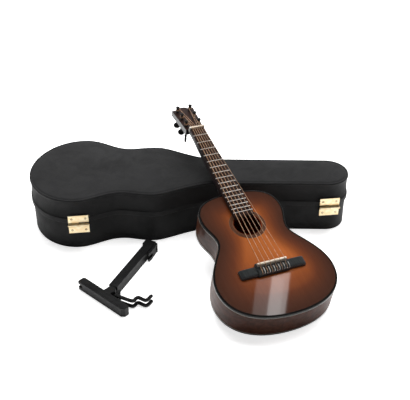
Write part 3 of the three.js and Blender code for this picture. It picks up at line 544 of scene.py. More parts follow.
def makeCaseShells():
    c = case
    wall, lip, rim, h = c["wall"], c["lip"], c["rim"], c["height"]
    bottom, roof = c["seam"] + c["gap"], h - wall
    profile = [(wall + 1.6, roof), (wall + 0.5, roof - 0.4), (wall, roof - 1.5), (wall, bottom + 0.3),
               (wall - 0.3, bottom)]
    profile += arcSteps(-lip + 0.55, bottom + 0.55, 0.55, 270, 180)  # rolled lip over the seam
    profile += arcSteps(-lip + 0.55, bottom + c["lipHeight"] - 0.3, 0.55, 180, 115)
    profile += [(0, bottom + c["lipHeight"] + 0.7), (0, h - c["rimHeight"] - 0.9)]
    profile += arcSteps(-rim + 1.0, h - 1.15, 1.0, 215, 90, 9)  # piped edge
    profile += [(-rim + 1.45, h - 0.45), (-rim + 1.8, h - 0.62), (-rim + 2.2, h - 0.5),
                (-rim + 3.0, h - 0.12), (-rim + 4.2, h)]
    inside = lambda number, middle, normal: isInner(number, 4, len(profile))
    makePiece("case_lid_cover", swept(caseLine, profile), "leatherette", "case_lid", "case_lid_shell",
              angle=60, inner=("plush", inside))

    s, top = c["baseInset"], c["seam"] - c["gap"]
    profile = [(s + wall + 1.6, wall), (s + wall + 0.5, wall + 0.4), (s + wall, wall + 1.5),
               (s + wall, top - 0.3), (s + wall - 0.3, top)]
    profile += arcSteps(s + 0.4, top - 0.4, 0.4, 90, 180)
    profile += [(s + 0.12, 12)]
    profile += arcSteps(s + 1.2, 1.2, 1.2, 180, 270, 7)
    profile += [(s + 4.5, 0)]
    inside = lambda number, middle, normal: isInner(number, 4, len(profile))
    makePiece("case_base_cover", swept(caseLine, profile), "leatherette", "case_base", "case_base_shell",
              angle=60, inner=("plush", inside))


def isInner(number, rows, count):
    # True for the first rows of faces of a swept case shell, and for the face that closes its first ring.
    sides = len(caseLine)
    return number < rows * sides or number == (count - 1) * sides


neckCradle = {"x": (57.5, 69.5), "half": 15.5, "low": 3.7, "top": 17, "notchZ": 19, "notchR": 9.5}


def makeLinings():
    c = case
    side = c["wall"] + c["baseInset"] + c["liningGap"]
    low = c["wall"] + c["liningLift"]
    for name, bodyName, start, sign in [("base_lining", "case_base", low, 1),
                                        ("lid_lining", "case_lid", c["height"] - low, -1)]:
        steps = [(side, 0.0), (side, 0.5), (side + 0.4, 0.95), (side + 1.4, 1.2), (side + 4.5, 1.2),
                 (side + 5.2, 0.75), (side + 5.9, 1.15), (side + 8.0, 1.2)]
        profile = [(inset, start + sign * up) for inset, up in steps]
        pad = makePiece(name + "_pad", swept(caseLine, profile), "plush", bodyName, name, angle=70)

    k = neckCradle
    reach = math.sqrt(k["notchR"] ** 2 - (k["notchZ"] - k["top"]) ** 2)
    start = math.degrees(math.atan2(k["top"] - k["notchZ"], reach))
    notch = circle(0, k["notchZ"], k["notchR"], 24, start, -180 - 2 * start)
    outline = [(-k["half"], k["low"]), (k["half"], k["low"]),
               (k["half"], k["top"])] + notch + [(-k["half"], k["top"])]
    block = makePiece("neck_cradle_pad", extruded(outline, *k["x"], axis="x"), "plush", "case_base",
                      "neck_cradle", bevel=1.1, steps=4, angle=50)


# Hinges, clasps and handle.

hinge = {"places": {"left": (-89.7, -1), "right": (121.3, 1)}, "half": 8.5, "height": 8.6, "thick": 0.8,
         "knuckleR": 1.35, "pinR": 0.65, "gap": 0.3, "seam": 0.25, "screwX": 5.7, "screwZ": 5.5,
         "screwR": 0.95}


def screwHead(radius, proud, slotTurn):
    # A raised countersunk head along +y with a sunk cross, built as a ring of wedges round the slots.
    sides, slotHalf = 32, radius * 0.16
    rings = []
    for r, up in [(radius, -0.25), (radius, proud * 0.3), (radius * 0.86, proud * 0.8),
                  (radius * 0.6, proud)]:
        rings.append([(r * math.cos(2 * math.pi * i / sides), up, r * math.sin(2 * math.pi * i / sides))
                      for i in range(sides)])
    for r, up in [(0.58, proud), (0.3, proud * 1.05), (0.12, proud * 1.05)]:
        ring = []
        for i in range(sides):
            a = 2 * math.pi * i / sides
            x, z = radius * r * math.cos(a), radius * r * math.sin(a)
            inSlot = min(abs(x), abs(z)) < slotHalf
            ring.append((x, up - (0.32 if inSlot else 0), z))
        rings.append(ring)
    return spun(skin(rings), "Y", slotTurn)


def makeHinges():
    k = hinge
    joint = [j for j in frame["joints"] if j["name"] == "lid_hinge"][0]
    start, along = Vector(joint["pos_m"]), Vector(joint["axis"])
    heading = math.degrees(math.atan2(along.y, along.x))
    half, r, clear = k["half"], k["knuckleR"], k["knuckleR"] + k["gap"]
    for side, (x, hand) in k["places"].items():
        centre = start + along * ((x * unit - start.x) / along.x)
        place = Matrix.Translation(centre) @ turned("Z", 180 + heading)
        # In this frame +x runs to the left of the hinge as it is looked at, and +y away from the wall. Each
        # leaf has one knuckle over half its width, and there it reaches nearly to the seam.
        for leaf, up, ownSide, turn in [("lid", 1, -hand, 20), ("base", -1, hand, -35)]:
            bodyName = "case_" + leaf
            left, right = (k["seam"], clear) if ownSide < 0 else (clear, k["seam"])
            outer = [(half, up * k["height"]), (-half, up * k["height"])]
            inner = [(-half, up * left), (0, up * left), (0, up * right), (half, up * right)]
            back = -r - k["thick"]
            plate = extruded(outer + inner, back, -r, axis="y")
            roll = [(back, up * 1.7), (back, -up * 0.1)]
            roll += [(r * math.cos(math.radians(t)), up * r * math.sin(math.radians(t)))
                     for t in range(200, 446, 15)]
            roll += [(-r + 0.25, up * 1.5), (-r, up * 1.7)]
            low, high = (0.15, half) if ownSide > 0 else (-half, -0.15)
            knuckle = extruded(roll, low, high, axis="x")
            makePiece(f"hinge_{side}_{leaf}_leaf_plate", together(plate, knuckle), "brass", bodyName,
                      f"hinge_{side}_{leaf}_leaf", place, bevel=0.14)
            for number, sign in enumerate((-1, 1), 1):
                spot = place @ moved(sign * k["screwX"], -r, up * k["screwZ"])
                screw = screwHead(k["screwR"], 0.16, turn + 40 * number)
                makePiece(f"hinge_{side}_{leaf}_screw_{number}", screw, "steel", bodyName,
                          place=spot, angle=50)
        reach = half + 0.4
        makePiece(f"hinge_{side}_pin_rod", rod(k["pinR"], -reach, reach, "x", 20, 0.2), "brass", "case_base",
                  f"hinge_{side}_pin", place)


clasp = {"places": {"left": -95.5, "right": 89.5}, "half": 5.5, "plateHeight": 8, "thick": 0.8,
         "barrelR": 1.0, "knuckle": 3, "pinZ": 34, "flapDrop": 15, "studR": 1.1,
         "rivet": (2.6, 4.3), "screw": (4.1, 6.6)}


def makeClasps():
    k = clasp
    for name, x in k["places"].items():
        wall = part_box(f"clasp_{name}_lid_plate")[0].y / unit
        place = moved(x, wall, 0)
        pinY = k["thick"] + k["barrelR"]
        half, top, z = k["half"], k["pinZ"] + k["plateHeight"] - 1, k["pinZ"]
        plate = extruded(roundedBox(-half, half, z - 1, top, 1.4, 6), 0, k["thick"], axis="y")
        boss = extruded(roundedBox(-half + 1.3, half - 1.3, z + 1.8, top - 0.9, 0.9, 5), k["thick"] - 0.1,
                        k["thick"] + 0.3, "y")
        ends = [(-half, -half + k["knuckle"]), (half - k["knuckle"], half)]
        barrels = [shifted(rod(k["barrelR"], a, b, "x", 24), 0, pinY, z) for a, b in ends]
        webs = [slab(a, b, k["thick"] / 2, pinY, z + 0.1, z + k["barrelR"] - 0.05) for a, b in ends]
        pin = shifted(rod(0.45, -half + 1, half - 1, "x", 16, 0.05), 0, pinY, z)
        makePiece(f"clasp_{name}_hanger", together(plate, boss, *barrels, *webs, pin), "brass", "case_lid",
                  f"clasp_{name}_lid_plate", place, bevel=0.15)
        for number, sign in enumerate((-1, 1), 1):
            spot = place @ moved(sign * k["rivet"][0], k["thick"] + 0.3, z + k["rivet"][1])
            makePiece(f"clasp_{name}_rivet_{number}", screwHead(0.8, 0.25, 15 * number), "steel", "case_lid",
                      place=spot, angle=50)

        flapHalf, drop = half - k["knuckle"] - 0.3, k["flapDrop"]
        tongue = [(pinY + k["thick"], z - 0.2), (pinY, z - 0.2), (pinY, z - drop * 0.55),
                  (pinY - 0.1, z - drop + 1.2)]
        tongue += [(pinY + 0.1, z - drop - 0.5), (pinY + 0.9, z - drop - 0.85), (pinY + 1.6, z - drop - 0.5)]
        tongue += [(pinY + 1.55, z - drop + 0.2), (pinY + 0.8, z - drop + 0.9),
                   (pinY + k["thick"], z - drop * 0.55)]
        flap = extruded(tongue, -flapHalf, flapHalf, axis="x")
        collar = shifted(rod(k["barrelR"], -flapHalf, flapHalf, "x", 24), 0, pinY, z)
        rib = extruded(roundedBox(-1.1, 1.1, z - drop + 3, z - 3, 0.9, 6), pinY + k["thick"] - 0.1,
                       pinY + k["thick"] + 0.28, "y")
        makePiece(f"clasp_{name}_latch", together(flap, collar, rib), "brass", f"clasp_{name}",
                  f"clasp_{name}_flap", place, bevel=0.15)

        edge = case["seam"] - 1
        catch = extruded(roundedBox(-half, half, edge - k["plateHeight"], edge, 1.4, 6), -case["lip"],
                         k["thick"], axis="y")
        stud = lathe([(0.01, 0.3), (1.5, 0.3), (1.5, k["thick"] + 0.2), (k["studR"], k["thick"] + 0.4),
                      (k["studR"], pinY - 0.45), (k["studR"] - 0.2, pinY - 0.3), (0.01, pinY - 0.3)], 28, "y")
        makePiece(f"clasp_{name}_catch", together(catch, shifted(stud, 0, 0, z - drop + 4.4)), "brass",
                  "case_base", f"clasp_{name}_keeper", place, bevel=0.12)
        for number, sign in enumerate((-1, 1), 1):
            spot = place @ moved(sign * k["screw"][0], k["thick"], edge - k["screw"][1])
            makePiece(f"clasp_{name}_catch_screw_{number}", screwHead(0.75, 0.16, 33 * number), "steel",
                      "case_base", place=spot, angle=50)


handle = {"fromX": -71.5, "toX": -37.5, "ballR": 1.625, "postR": 1.3, "postLength": 4.2, "gripR": 2.1,
          "drop": 10, "wireR": 0.55}


def makeHandle():
    k = handle
    joint = [j for j in frame["joints"] if j["name"] == "handle_swing"][0]
    along = Vector(joint["axis"])
    place = Matrix.Translation(Vector(joint["pos_m"])) @ turned("Z", math.degrees(math.atan2(along.y, along.x)))
    span = (k["toX"] - k["fromX"]) / along.x
    for side, sign in [("left", -1), ("right", 1)]:
        profile = [(0.01, 1.4), (2.6, 1.4), (2.6, 1.9), (2.2, 2.35), (1.55, 2.5), (k["postR"], 2.9),
                   (k["postR"], 3.3)]
        r, length = k["ballR"], k["postLength"]
        ball = [(r * math.sin(math.radians(t)), length - r * math.cos(math.radians(t)))
                for t in range(55, 180, 14)]
        post = lathe(profile + ball + [(0.01, length + 1.62)], 28, "y")
        makePiece(f"handle_{side}_stud", shifted(post, sign * span / 2, -length, 0), "brass", "case_base",
                  f"handle_{side}_post", place, angle=50)
    reach, drop = span / 2 + 3.6, k["drop"]
    wire = [(-span / 2 + 2.4, 0, 0), (-reach + 1.5, 0, 0), (-reach, 0, -1.5), (-reach, 0, -drop + 1.5),
            (-reach + 1.5, 0, -drop), (0, 0, -drop), (reach - 1.5, 0, -drop), (reach, 0, -drop + 1.5),
            (reach, 0, -1.5), (reach - 1.5, 0, 0), (span / 2 - 2.4, 0, 0)]
    makePiece("handle_wire", tube(smoothLine(wire, 5), k["wireR"], 14), "brass", "handle",
              place=place)
    half = span / 2 - 4
    profile = [(0.7, -half)]
    for i in range(0, 33):
        t = i / 32
        swell = math.sin(math.pi * min(max(t, 0.04), 0.96)) ** 0.35
        ridge = 0.06 * math.cos(2 * math.pi * t * 9)
        profile.append((0.75 + (k["gripR"] - 0.85) * swell + ridge, -half + 0.2 + (2 * half - 0.4) * t))
    profile.append((0.7, half))
    makePiece("handle_grip", shifted(lathe(profile, 28, "x"), 0, 0, -drop), "leatherette", "handle",
              "carrying_handle", place, angle=60)


makeCaseShells()
makeLinings()
makeHinges()
makeClasps()
makeHandle()
print("case made")

# The guitar, in its own frame: x across, y to the head, z out of the top.

body = {
    "depth": 23.8, "length": 125, "board": 1.4, "rim": 1.6, "binding": 1.1, "bindingHeight": 1.6,
    "bindingShown": 1.6, "lower": (48.5, 35.3), "waist": (30.3, 78.4), "upper": (35.2, 101.8), "holeY": 89.5,
    # The sunburst's pale middle sits right of the strings and fades around it: painted light and shade from the
    # right and behind, over the real stain.
    "holeR": 11.2, "rosette": (11.9, 14.8), "burstReach": 22.0, "burstAndLightCentre": (11, 68),
    "burstAndLightRadius": (10, 64), "burstAndShadeFade": 0.55, "holeStain": 0.25, "smoothness": 26,
    "bends": (33, 20, 20, 9, 9, 10, 17, 23), "paleLine": 0.7,
}


def bodyOutline():
    k, n = body, body["smoothness"]
    (lx, ly), (wx, wy), (ux, uy), L = k["lower"], k["waist"], k["upper"], k["length"]
    tail, intoLower, fromLower, intoWaist, fromWaist, intoUpper, fromUpper, shoulder = k["bends"]
    half = [(0, 0)]
    half += bezier((0, 0), (tail, 0), (lx, ly - intoLower), (lx, ly), n)
    half += bezier((lx, ly), (lx, ly + fromLower), (wx, wy - intoWaist), (wx, wy), n)
    half += bezier((wx, wy), (wx, wy + fromWaist), (ux, uy - intoUpper), (ux, uy), n)
    half += bezier((ux, uy), (ux, uy + fromUpper), (shoulder, L), (0, L), n)
    other = [(-x, y) for x, y in half[1:-1]][::-1]
    return half + other


bodyLine = bodyOutline()


def edgeDistance(point):
    return min(math.hypot(point.x - x, point.y - y) for x, y in bodyLine)


def stainAndPaintedLight(point):
    # 0 at the dark edge of the sunburst and 1 at its pale middle; it also darkens slowly away from a middle set
    # right of the strings, which is painted light and shade from the right and behind, laid over the stain.
    k = body
    (x, y), (near, far) = k["burstAndLightCentre"], k["burstAndLightRadius"]
    if math.hypot(point.x, point.y - k["holeY"]) < k["rosette"][0] - 0.2:
        return k["holeStain"]
    t = min(max((math.hypot(point.x - x, point.y - y) - near) / (far - near), 0), 1)
    return min(edgeDistance(point) / k["burstReach"], 1.0) * (1 - k["burstAndShadeFade"] * t * t * (3 - 2 * t))


def makeTop():
    k = body
    line = insetLine(bodyLine, k["binding"] + 0.02)
    centre = Vector((0, k["holeY"]))
    hole = []
    for x, y in line:
        away = (Vector((x, y)) - centre).normalized()
        hole.append((centre.x + away.x * k["holeR"], centre.y + away.y * k["holeR"]))
    steps = 22
    rings = []
    for i in range(steps + 1):
        t = i / steps
        rings.append([(hx + (x - hx) * t, hy + (y - hy) * t, 0.0) for (hx, hy), (x, y) in zip(hole, line)])
    under = [[(x, y, -k["board"]) for x, y, _ in ring] for ring in (rings[-1], rings[steps // 2], rings[0])]
    eased = [(centre.x + (x - centre.x) * 0.985, centre.y + (y - centre.y) * 0.985, -0.25) for x, y in hole]
    form = skin(rings + under + [eased], loop=True)
    inside = lambda number, middle, normal: middle.z < -0.05
    # The top's edge number carries the sunburst stain together with painted light and shade.
    makePiece("guitar_top", form, "sunburst", "guitar", "soundboard", guitarPlace, angle=50,
              inner=("interior", inside), edge=stainAndPaintedLight)

    low, high = k["rosette"]
    count = 96
    span = [0, 0.03, 0.1, 0.25, 0.4, 0.6, 0.75, 0.9, 0.97, 1]
    heights = [0, 0.1, 0.14, 0.15, 0.15, 0.15, 0.15, 0.14, 0.1, 0]
    rings = [[(x, y, up) for x, y in circle(0, k["holeY"], low + (high - low) * t, count)]
             for t, up in zip(span, heights)]
    rings += [[(x, y, -0.2) for x, y in circle(0, k["holeY"], r, count)] for r in (high, low)]
    makePiece("rosette_ring", skin(rings, loop=True), "inlay", "guitar", "rosette",
              guitarPlace, angle=60, edge=lambda p: (math.hypot(p.x, p.y - k["holeY"]) - low) / (high - low))


def makeSides():
    k = body
    depth, b, h = k["depth"], k["binding"], k["bindingHeight"]
    top, bottom = -h - k["paleLine"], -depth + h + k["paleLine"]
    outer = [(0.12, top), (0.06, top - 3), (0.0, (top + bottom) / 2), (0.06, bottom + 3), (0.12, bottom)]
    profile = outer + [(0.2 + k["rim"], bottom), (0.2 + k["rim"], top)]
    inside = lambda number, middle, normal: number // len(bodyLine) in (4, 5)
    makePiece("guitar_sides", swept(bodyLine, profile, loop=True), "sides", "guitar", "rim",
              guitarPlace, inner=("interior", inside), angle=60)

    ease = 0.85
    corner = [(ease - ease * math.cos(math.radians(t)), -ease + ease * math.sin(math.radians(t)))
              for t in range(0, 91, 15)]
    profile = [(0.0, -h)] + corner + [(b + 0.03, 0.0), (k["bindingShown"], 0.06), (k["bindingShown"], -0.1),
                                      (b + 0.03, -0.1), (b + 0.03, -h)]
    for name, node, flip in [("top_edge_binding", "top_binding", 1),
                             ("back_edge_binding", "back_binding", -1)]:
        rows = [(inset, z if flip > 0 else -depth - z) for inset, z in profile]
        makePiece(name, swept(bodyLine, rows, loop=True), "blackBinding", "guitar", node,
                  guitarPlace, angle=50)
    for name, z0, z1 in [("top_edge_line", top, -h), ("back_edge_line", -depth + h, bottom)]:
        rows = [(-0.02, z0), (-0.06, (z0 + z1) / 2), (-0.02, z1), (b, z1), (b, z0)]
        makePiece(name, swept(bodyLine, rows, loop=True), "paleLine", "guitar",
                  place=guitarPlace, angle=60)
    profile = [(b + 0.02, -depth), (b + 0.02, -depth + k["board"])]
    inside = lambda number, middle, normal: middle.z > -depth + 0.7
    makePiece("guitar_back", swept(bodyLine, profile), "sides", "guitar", "back_plate",
              guitarPlace, inner=("interior", inside), angle=50)
    for node in ["neck_block", "tail_block", "upper_top_brace", "lower_top_brace", "upper_back_brace",
                 "lower_back_brace"]:
        solid = frame["nodes"][node]
        solid.data.materials.clear()
        solid.data.materials.append(paint["interior"])


neck = {
    "nutY": 202.6, "nutWidth": 3, "scaleFrom": 203.4, "nutHalf": 6.8, "nutTop": 5.5, "boardTop": 3.7,
    "boardEnd": 95.6, "halfAtNut": 6.5, "halfAtEnd": 8.4, "depth": 10.3, "depthAtNut": 6.2, "heelDepth": 22.2,
    "heelLength": 15, "frets": 16, "scale": 171, "fretTop": 4.2, "fretWidth": 0.7,
}


def boardHalf(y):
    t = (neck["nutY"] - y) / (neck["nutY"] - neck["boardEnd"])
    return neck["halfAtNut"] + (neck["halfAtEnd"] - neck["halfAtNut"]) * t


def neckRing(y, half, depth, top=0.0):
    # Flat on top, with a short upright shoulder each side and a round back.
    shoulder = 0.8
    ring = [(half, y, top)]
    for i in range(31):
        a = math.pi * i / 30
        ring.append((half * math.cos(a), y, -shoulder - (depth - shoulder) * math.sin(a)))
    ring.append((-half, y, top))
    return ring


def arch(r, step):
    # Half a circle from one foot to the other: how far along, and how much of the full height.
    return [(r * math.cos(math.radians(t)), math.sin(math.radians(t))) for t in range(0, 181, step)]


def makeNeck():
    k = neck
    start = body["length"] + 0.02
    rings = []
    for i in range(15):
        t = i / 14
        drop = k["depth"] + (k["heelDepth"] - k["depth"]) * (1 - t) ** 1.9
        y = start + t * k["heelLength"]
        rings.append(neckRing(y, boardHalf(y), drop))
    far = k["nutY"] + k["nutWidth"] + 0.5
    for i in range(1, 15):
        t = i / 14
        y = start + k["heelLength"] + t * (far - start - k["heelLength"])
        rings.append(neckRing(y, boardHalf(min(y, k["nutY"])),
                              k["depth"] + (k["depthAtNut"] - k["depth"]) * t))
    rings.append(neckRing(far + 1.2, k["halfAtNut"] + 0.1, k["depthAtNut"] - 0.5, -0.7))
    rings.append(neckRing(far + 2.6, k["halfAtNut"], k["depthAtNut"] - 1.7, -1.5))
    makePiece("guitar_neck", skin(rings), "neckWood", "guitar", "neck", guitarPlace, angle=48)

    top, low = k["boardTop"], 0.03
    first = k["boardEnd"] + 0.5
    stations = [k["boardEnd"]] + [first + (k["nutY"] - first) * i / 12 for i in range(13)]
    rings = []
    for n, y in enumerate(stations):
        half = boardHalf(y) - (0.35 if n == 0 else 0)
        up = top - (0.35 if n == 0 else 0)
        crown = [(x * half, up + 0.12 * (1 - x * x)) for x in (0.95, 0.6, 0.2, -0.2, -0.6, -0.95)]
        edge = [(half, low), (half, up - 0.45), (half - 0.12, up - 0.12)]
        section = edge + crown + [(-x, z) for x, z in reversed(edge)]
        rings.append([(x, y, z) for x, z in section])
    makePiece("fingerboard_slab", skin(rings), "fingerboard", "guitar", "fingerboard",
              guitarPlace, angle=30)

    for number in range(1, k["frets"] + 1):
        y = k["scaleFrom"] - k["scale"] * (1 - 2 ** (-number / 12))
        half, crown, r = boardHalf(y) + 0.02, k["fretTop"], k["fretWidth"] / 2
        foot, shoulder = top - 0.15, top - 0.05
        section = [(-r, foot), (r, foot)]
        section += [(a, shoulder + (crown - shoulder) * up) for a, up in arch(r, 20)]
        ends = [(-half, 0.55), (-half + 0.35, 0.9), (-half + 0.8, 1)]  # where the wire's ends are filed down
        rings = []
        for x, scale in ends + [(0, 1.06)] + [(-x, scale) for x, scale in reversed(ends)]:
            rings.append([(x, y + a, foot + (b - foot) * scale) for a, b in section])
        makePiece(f"fret_{number:02d}", skin(rings), "fretWire", "guitar",
                  place=guitarPlace, angle=60)

    y0, half, up = k["nutY"] + 0.05, k["nutHalf"], k["nutTop"]
    stations = [-half]
    slot = [(-0.45, 0), (-0.22, 0.42), (0, 0.6), (0.22, 0.42), (0.45, 0)]  # across, and how deep
    for i in range(strings["count"]):
        x = (i - (strings["count"] - 1) / 2) * strings["nutSpacing"]
        stations += [x + across for across, _ in slot]
    stations.append(half)
    rings = []
    for n, x in enumerate(stations):
        dip = 0 if n in (0, len(stations) - 1) else slot[(n - 1) % len(slot)][1]
        z = up - dip
        rings.append([(x, y0, 0.03), (x, y0 + 2.3, 0.03), (x, y0 + 2.3, z - 0.9), (x, y0 + 1.9, z - 0.35),
                      (x, y0 + 1.1, z), (x, y0 + 0.3, z - 0.05), (x, y0, z - 0.3)])
    makePiece("nut_block", skin(rings), "bone", "guitar", "nut", guitarPlace, angle=35)


strings = {"count": 6, "saddleSpacing": 4.1, "nutSpacing": 1.85, "radii": [0.26, 0.24, 0.22, 0.2, 0.18, 0.17],
           "wound": 3, "row": [0, 1, 2, 2, 1, 0], "slotDepth": 0.6, "tieAside": 2.05, "postR": 1.27,
           "postZ": 3.2, "turns": 2.6}

head = {"tilt": 6, "length": 32.5, "thick": 5.5, "halfAtNut": 8.2, "halfAtTip": 10.3, "drop": 0.4,
        "rows": [6, 17, 28], "offset": 5.9, "turns": [1.16, 1.2, -0.4, 1.5, -0.4, 0.6],
        "stem": 6.4, "discR": 3.1, "discHalf": 1.08}
headShift = head["thick"] * math.sin(math.radians(head["tilt"]))
headStart = neck["nutY"] + neck["nutWidth"] + 0.9 + headShift
headPlace = guitarPlace @ moved(0, headStart, -head["drop"]) @ turned("X", -head["tilt"])


def quadratic(a, b, c, count):
    out = []
    for i in range(1, count + 1):
        t = i / count
        out.append(tuple((1 - t) ** 2 * p + 2 * t * (1 - t) * q + t * t * r for p, q, r in zip(a, b, c)))
    return out


def headOutline():
    L, n, tip = head["length"], head["halfAtNut"], head["halfAtTip"]
    half = [(0, 0), (n * 0.5, 0), (n, 0), ((n * 2 + tip) / 3, L / 3), ((n + tip * 2) / 3, L * 2 / 3),
            (tip, L - 1)]
    half += quadratic((tip, L - 1), (tip - 1.4, L - 1.6), (tip - 3, L - 1.2), 6)
    half += quadratic((tip - 3, L - 1.2), (tip - 5, L - 1.2), (tip - 5.8, L), 6)
    half += quadratic((tip - 5.8, L), (tip - 7.5, L + 1.5), (0, L + 1.6), 8)
    return half + [(-x, y) for x, y in half[1:-1]][::-1]


def applied(piece):
    # Bakes the piece's modifiers into its mesh.
    bpy.context.view_layer.update()
    made = bpy.data.meshes.new_from_object(piece.evaluated_get(bpy.context.evaluated_depsgraph_get()))
    piece.modifiers.clear()
    piece.data = made


def makeHead():
    k = head
    outline = headOutline()
    blank = extruded(outline, -k["thick"], 0.0)
    veneer = lambda number, middle, normal: normal.z > 0.9
    piece = makePiece("guitar_headstock", blank, "neckWood", "guitar", "headstock", headPlace,
                      bevel=0.4, steps=3, inner=("headVeneer", veneer))
    applied(piece)
    holes = together(*[shifted(rod(1.55, -k["thick"] - 1, 1, "z", 28, 0.01), side * k["offset"], y, 0)
                       for y in k["rows"] for side in (-1, 1)])
    cutter = bpy.data.meshes.new("pegHoles")
    cutter.from_pydata([Vector(p) * unit for p in holes[0]], [], holes[1])
    work = bmesh.new()
    work.from_mesh(cutter)
    bmesh.ops.recalc_face_normals(work, faces=work.faces)
    work.to_mesh(cutter)
    work.free()
    tool = bpy.data.objects.new("pegHoles", cutter)
    bpy.context.collection.objects.link(tool)
    tool.matrix_world = headPlace
    drill = piece.modifiers.new("drill", "BOOLEAN")
    drill.object = tool
    drill.operation = "DIFFERENCE"
    drill.solver = "EXACT"
    applied(piece)
    bpy.data.objects.remove(tool)

    for number, (y, side) in enumerate([(y, side) for y in k["rows"] for side in (-1, 1)], 1):
        under = -k["thick"] - 0.3
        stem = under - k["stem"]
        profile = [(0.01, stem), (0.9, stem + 0.2), (1.15, stem + 0.9), (1.1, under - 3.2),
                   (1.2, under - 1.8), (1.6, under - 1.5), (2.1, under - 1.2), (2.15, under - 0.6),
                   (2.0, under - 0.05), (1.3, under), (1.3, 0.2), (1.55, 0.35), (1.55, 0.75), (1.45, 0.95),
                   (1.4, 1.5), (1.3, 2.0), (1.25, 2.8), (1.3, 3.6), (1.45, 4.2), (1.7, 4.7), (1.68, 5.1),
                   (1.5, 5.35), (0.95, 5.47), (0.01, 5.5)]
        disc = []
        for t in range(0, 181, 12):
            a = math.radians(t)
            disc.append((max(k["discR"] * math.sin(a) ** 0.8, 0.01),
                         -k["discHalf"] * math.copysign(abs(math.cos(a)) ** 0.6, math.cos(a))))
        knob = spun(lathe(disc, 36, "y"), "Z", math.degrees(k["turns"][number - 1]))
        form = together(lathe(profile, 28), shifted(knob, 0, 0, stem + 0.8 - k["discR"]))
        place = headPlace @ moved(side * k["offset"], y, 0)
        makePiece(f"tuning_peg_{number}_turned", form, "pegWood", f"peg_{number}", f"tuning_peg_{number}",
                  place, angle=50)


bridge = {"y": 42.3, "halfLength": 27, "width": 8, "wingHeight": 2.8, "blockHalf": 13, "blockWidth": 9.6,
          "blockHeight": 4.6, "saddleY": 45, "saddleHalf": 12, "saddleR": 1.1, "saddleTop": 7.3}


def makeBridge():
    k = bridge
    low, wings = 0.02, []
    ends = [(0, 0.5, 0.86), (0.4, 0.78, 0.95), (1.6, 0.94, 1), (4, 1, 1), (13, 1, 1)]  # from the tip inwards
    across = [(inwards - k["halfLength"], up, wide) for inwards, up, wide in ends]
    across += [(-x, up, wide) for x, up, wide in reversed(across)]
    for x, height, width in across:
        top = low + (k["wingHeight"] - low) * height
        half = k["width"] / 2 * width
        section = [(-half, low), (-half, top - 0.95), (-half + 0.25, top - 0.35), (-half + 0.8, top - 0.05),
                   (-half + 1.6, top), (half - 1.6, top), (half - 0.8, top - 0.05), (half - 0.25, top - 0.35),
                   (half, top - 0.95), (half, low)]
        wings.append([(x, k["y"] + a, b) for a, b in section])
    front, back = k["y"] + k["blockWidth"] / 2 + 0.8, k["y"] - k["blockWidth"] / 2
    top = k["blockHeight"]
    block = []
    half = k["blockHalf"]
    for x, ease in [(-half, 0.55), (0.25 - half, 0.2), (0.8 - half, 0), (half - 0.8, 0), (half - 0.25, 0.2),
                    (half, 0.55)]:
        t = top - ease
        section = [(back + ease * 0.5, low), (back + ease * 0.5, 2.5), (back + 0.5, 3.2),
                   (back + 1.55, t - 0.35), (back + 1.9, t - 0.03), (back + 4.2, t), (back + 4.55, t - 0.55),
                   (back + 5.6, t - 0.6), (back + 6.0, t), (front - 1.0, t), (front - 0.35, t - 0.25),
                   (front - ease * 0.5, t - 0.9), (front - ease * 0.5, low)]
        block.append([(x, a, b) for a, b in section])
    makePiece("bridge_carved", together(skin(wings), skin(block)), "bridgeBlack", "guitar", "bridge",
              guitarPlace, angle=28)

    r, mid = k["saddleR"], k["saddleTop"] - k["saddleR"]
    rings = []
    half = k["saddleHalf"]
    for x, ease in [(-half, 0.35), (0.25 - half, 0.1), (0.7 - half, 0), (half - 0.7, 0), (half - 0.25, 0.1),
                    (half, 0.35)]:
        arc = [((r - ease * 0.4) * math.cos(math.radians(t)), mid + (r - ease) * math.sin(math.radians(t)))
               for t in range(0, 181, 15)]
        section = [(r - ease * 0.4, 3.9)] + arc + [(-r + ease * 0.4, 3.9)]
        rings.append([(x, k["saddleY"] + a, b) for a, b in section])
    makePiece("saddle_bar", skin(rings), "bone", "guitar", "saddle", guitarPlace, angle=50)


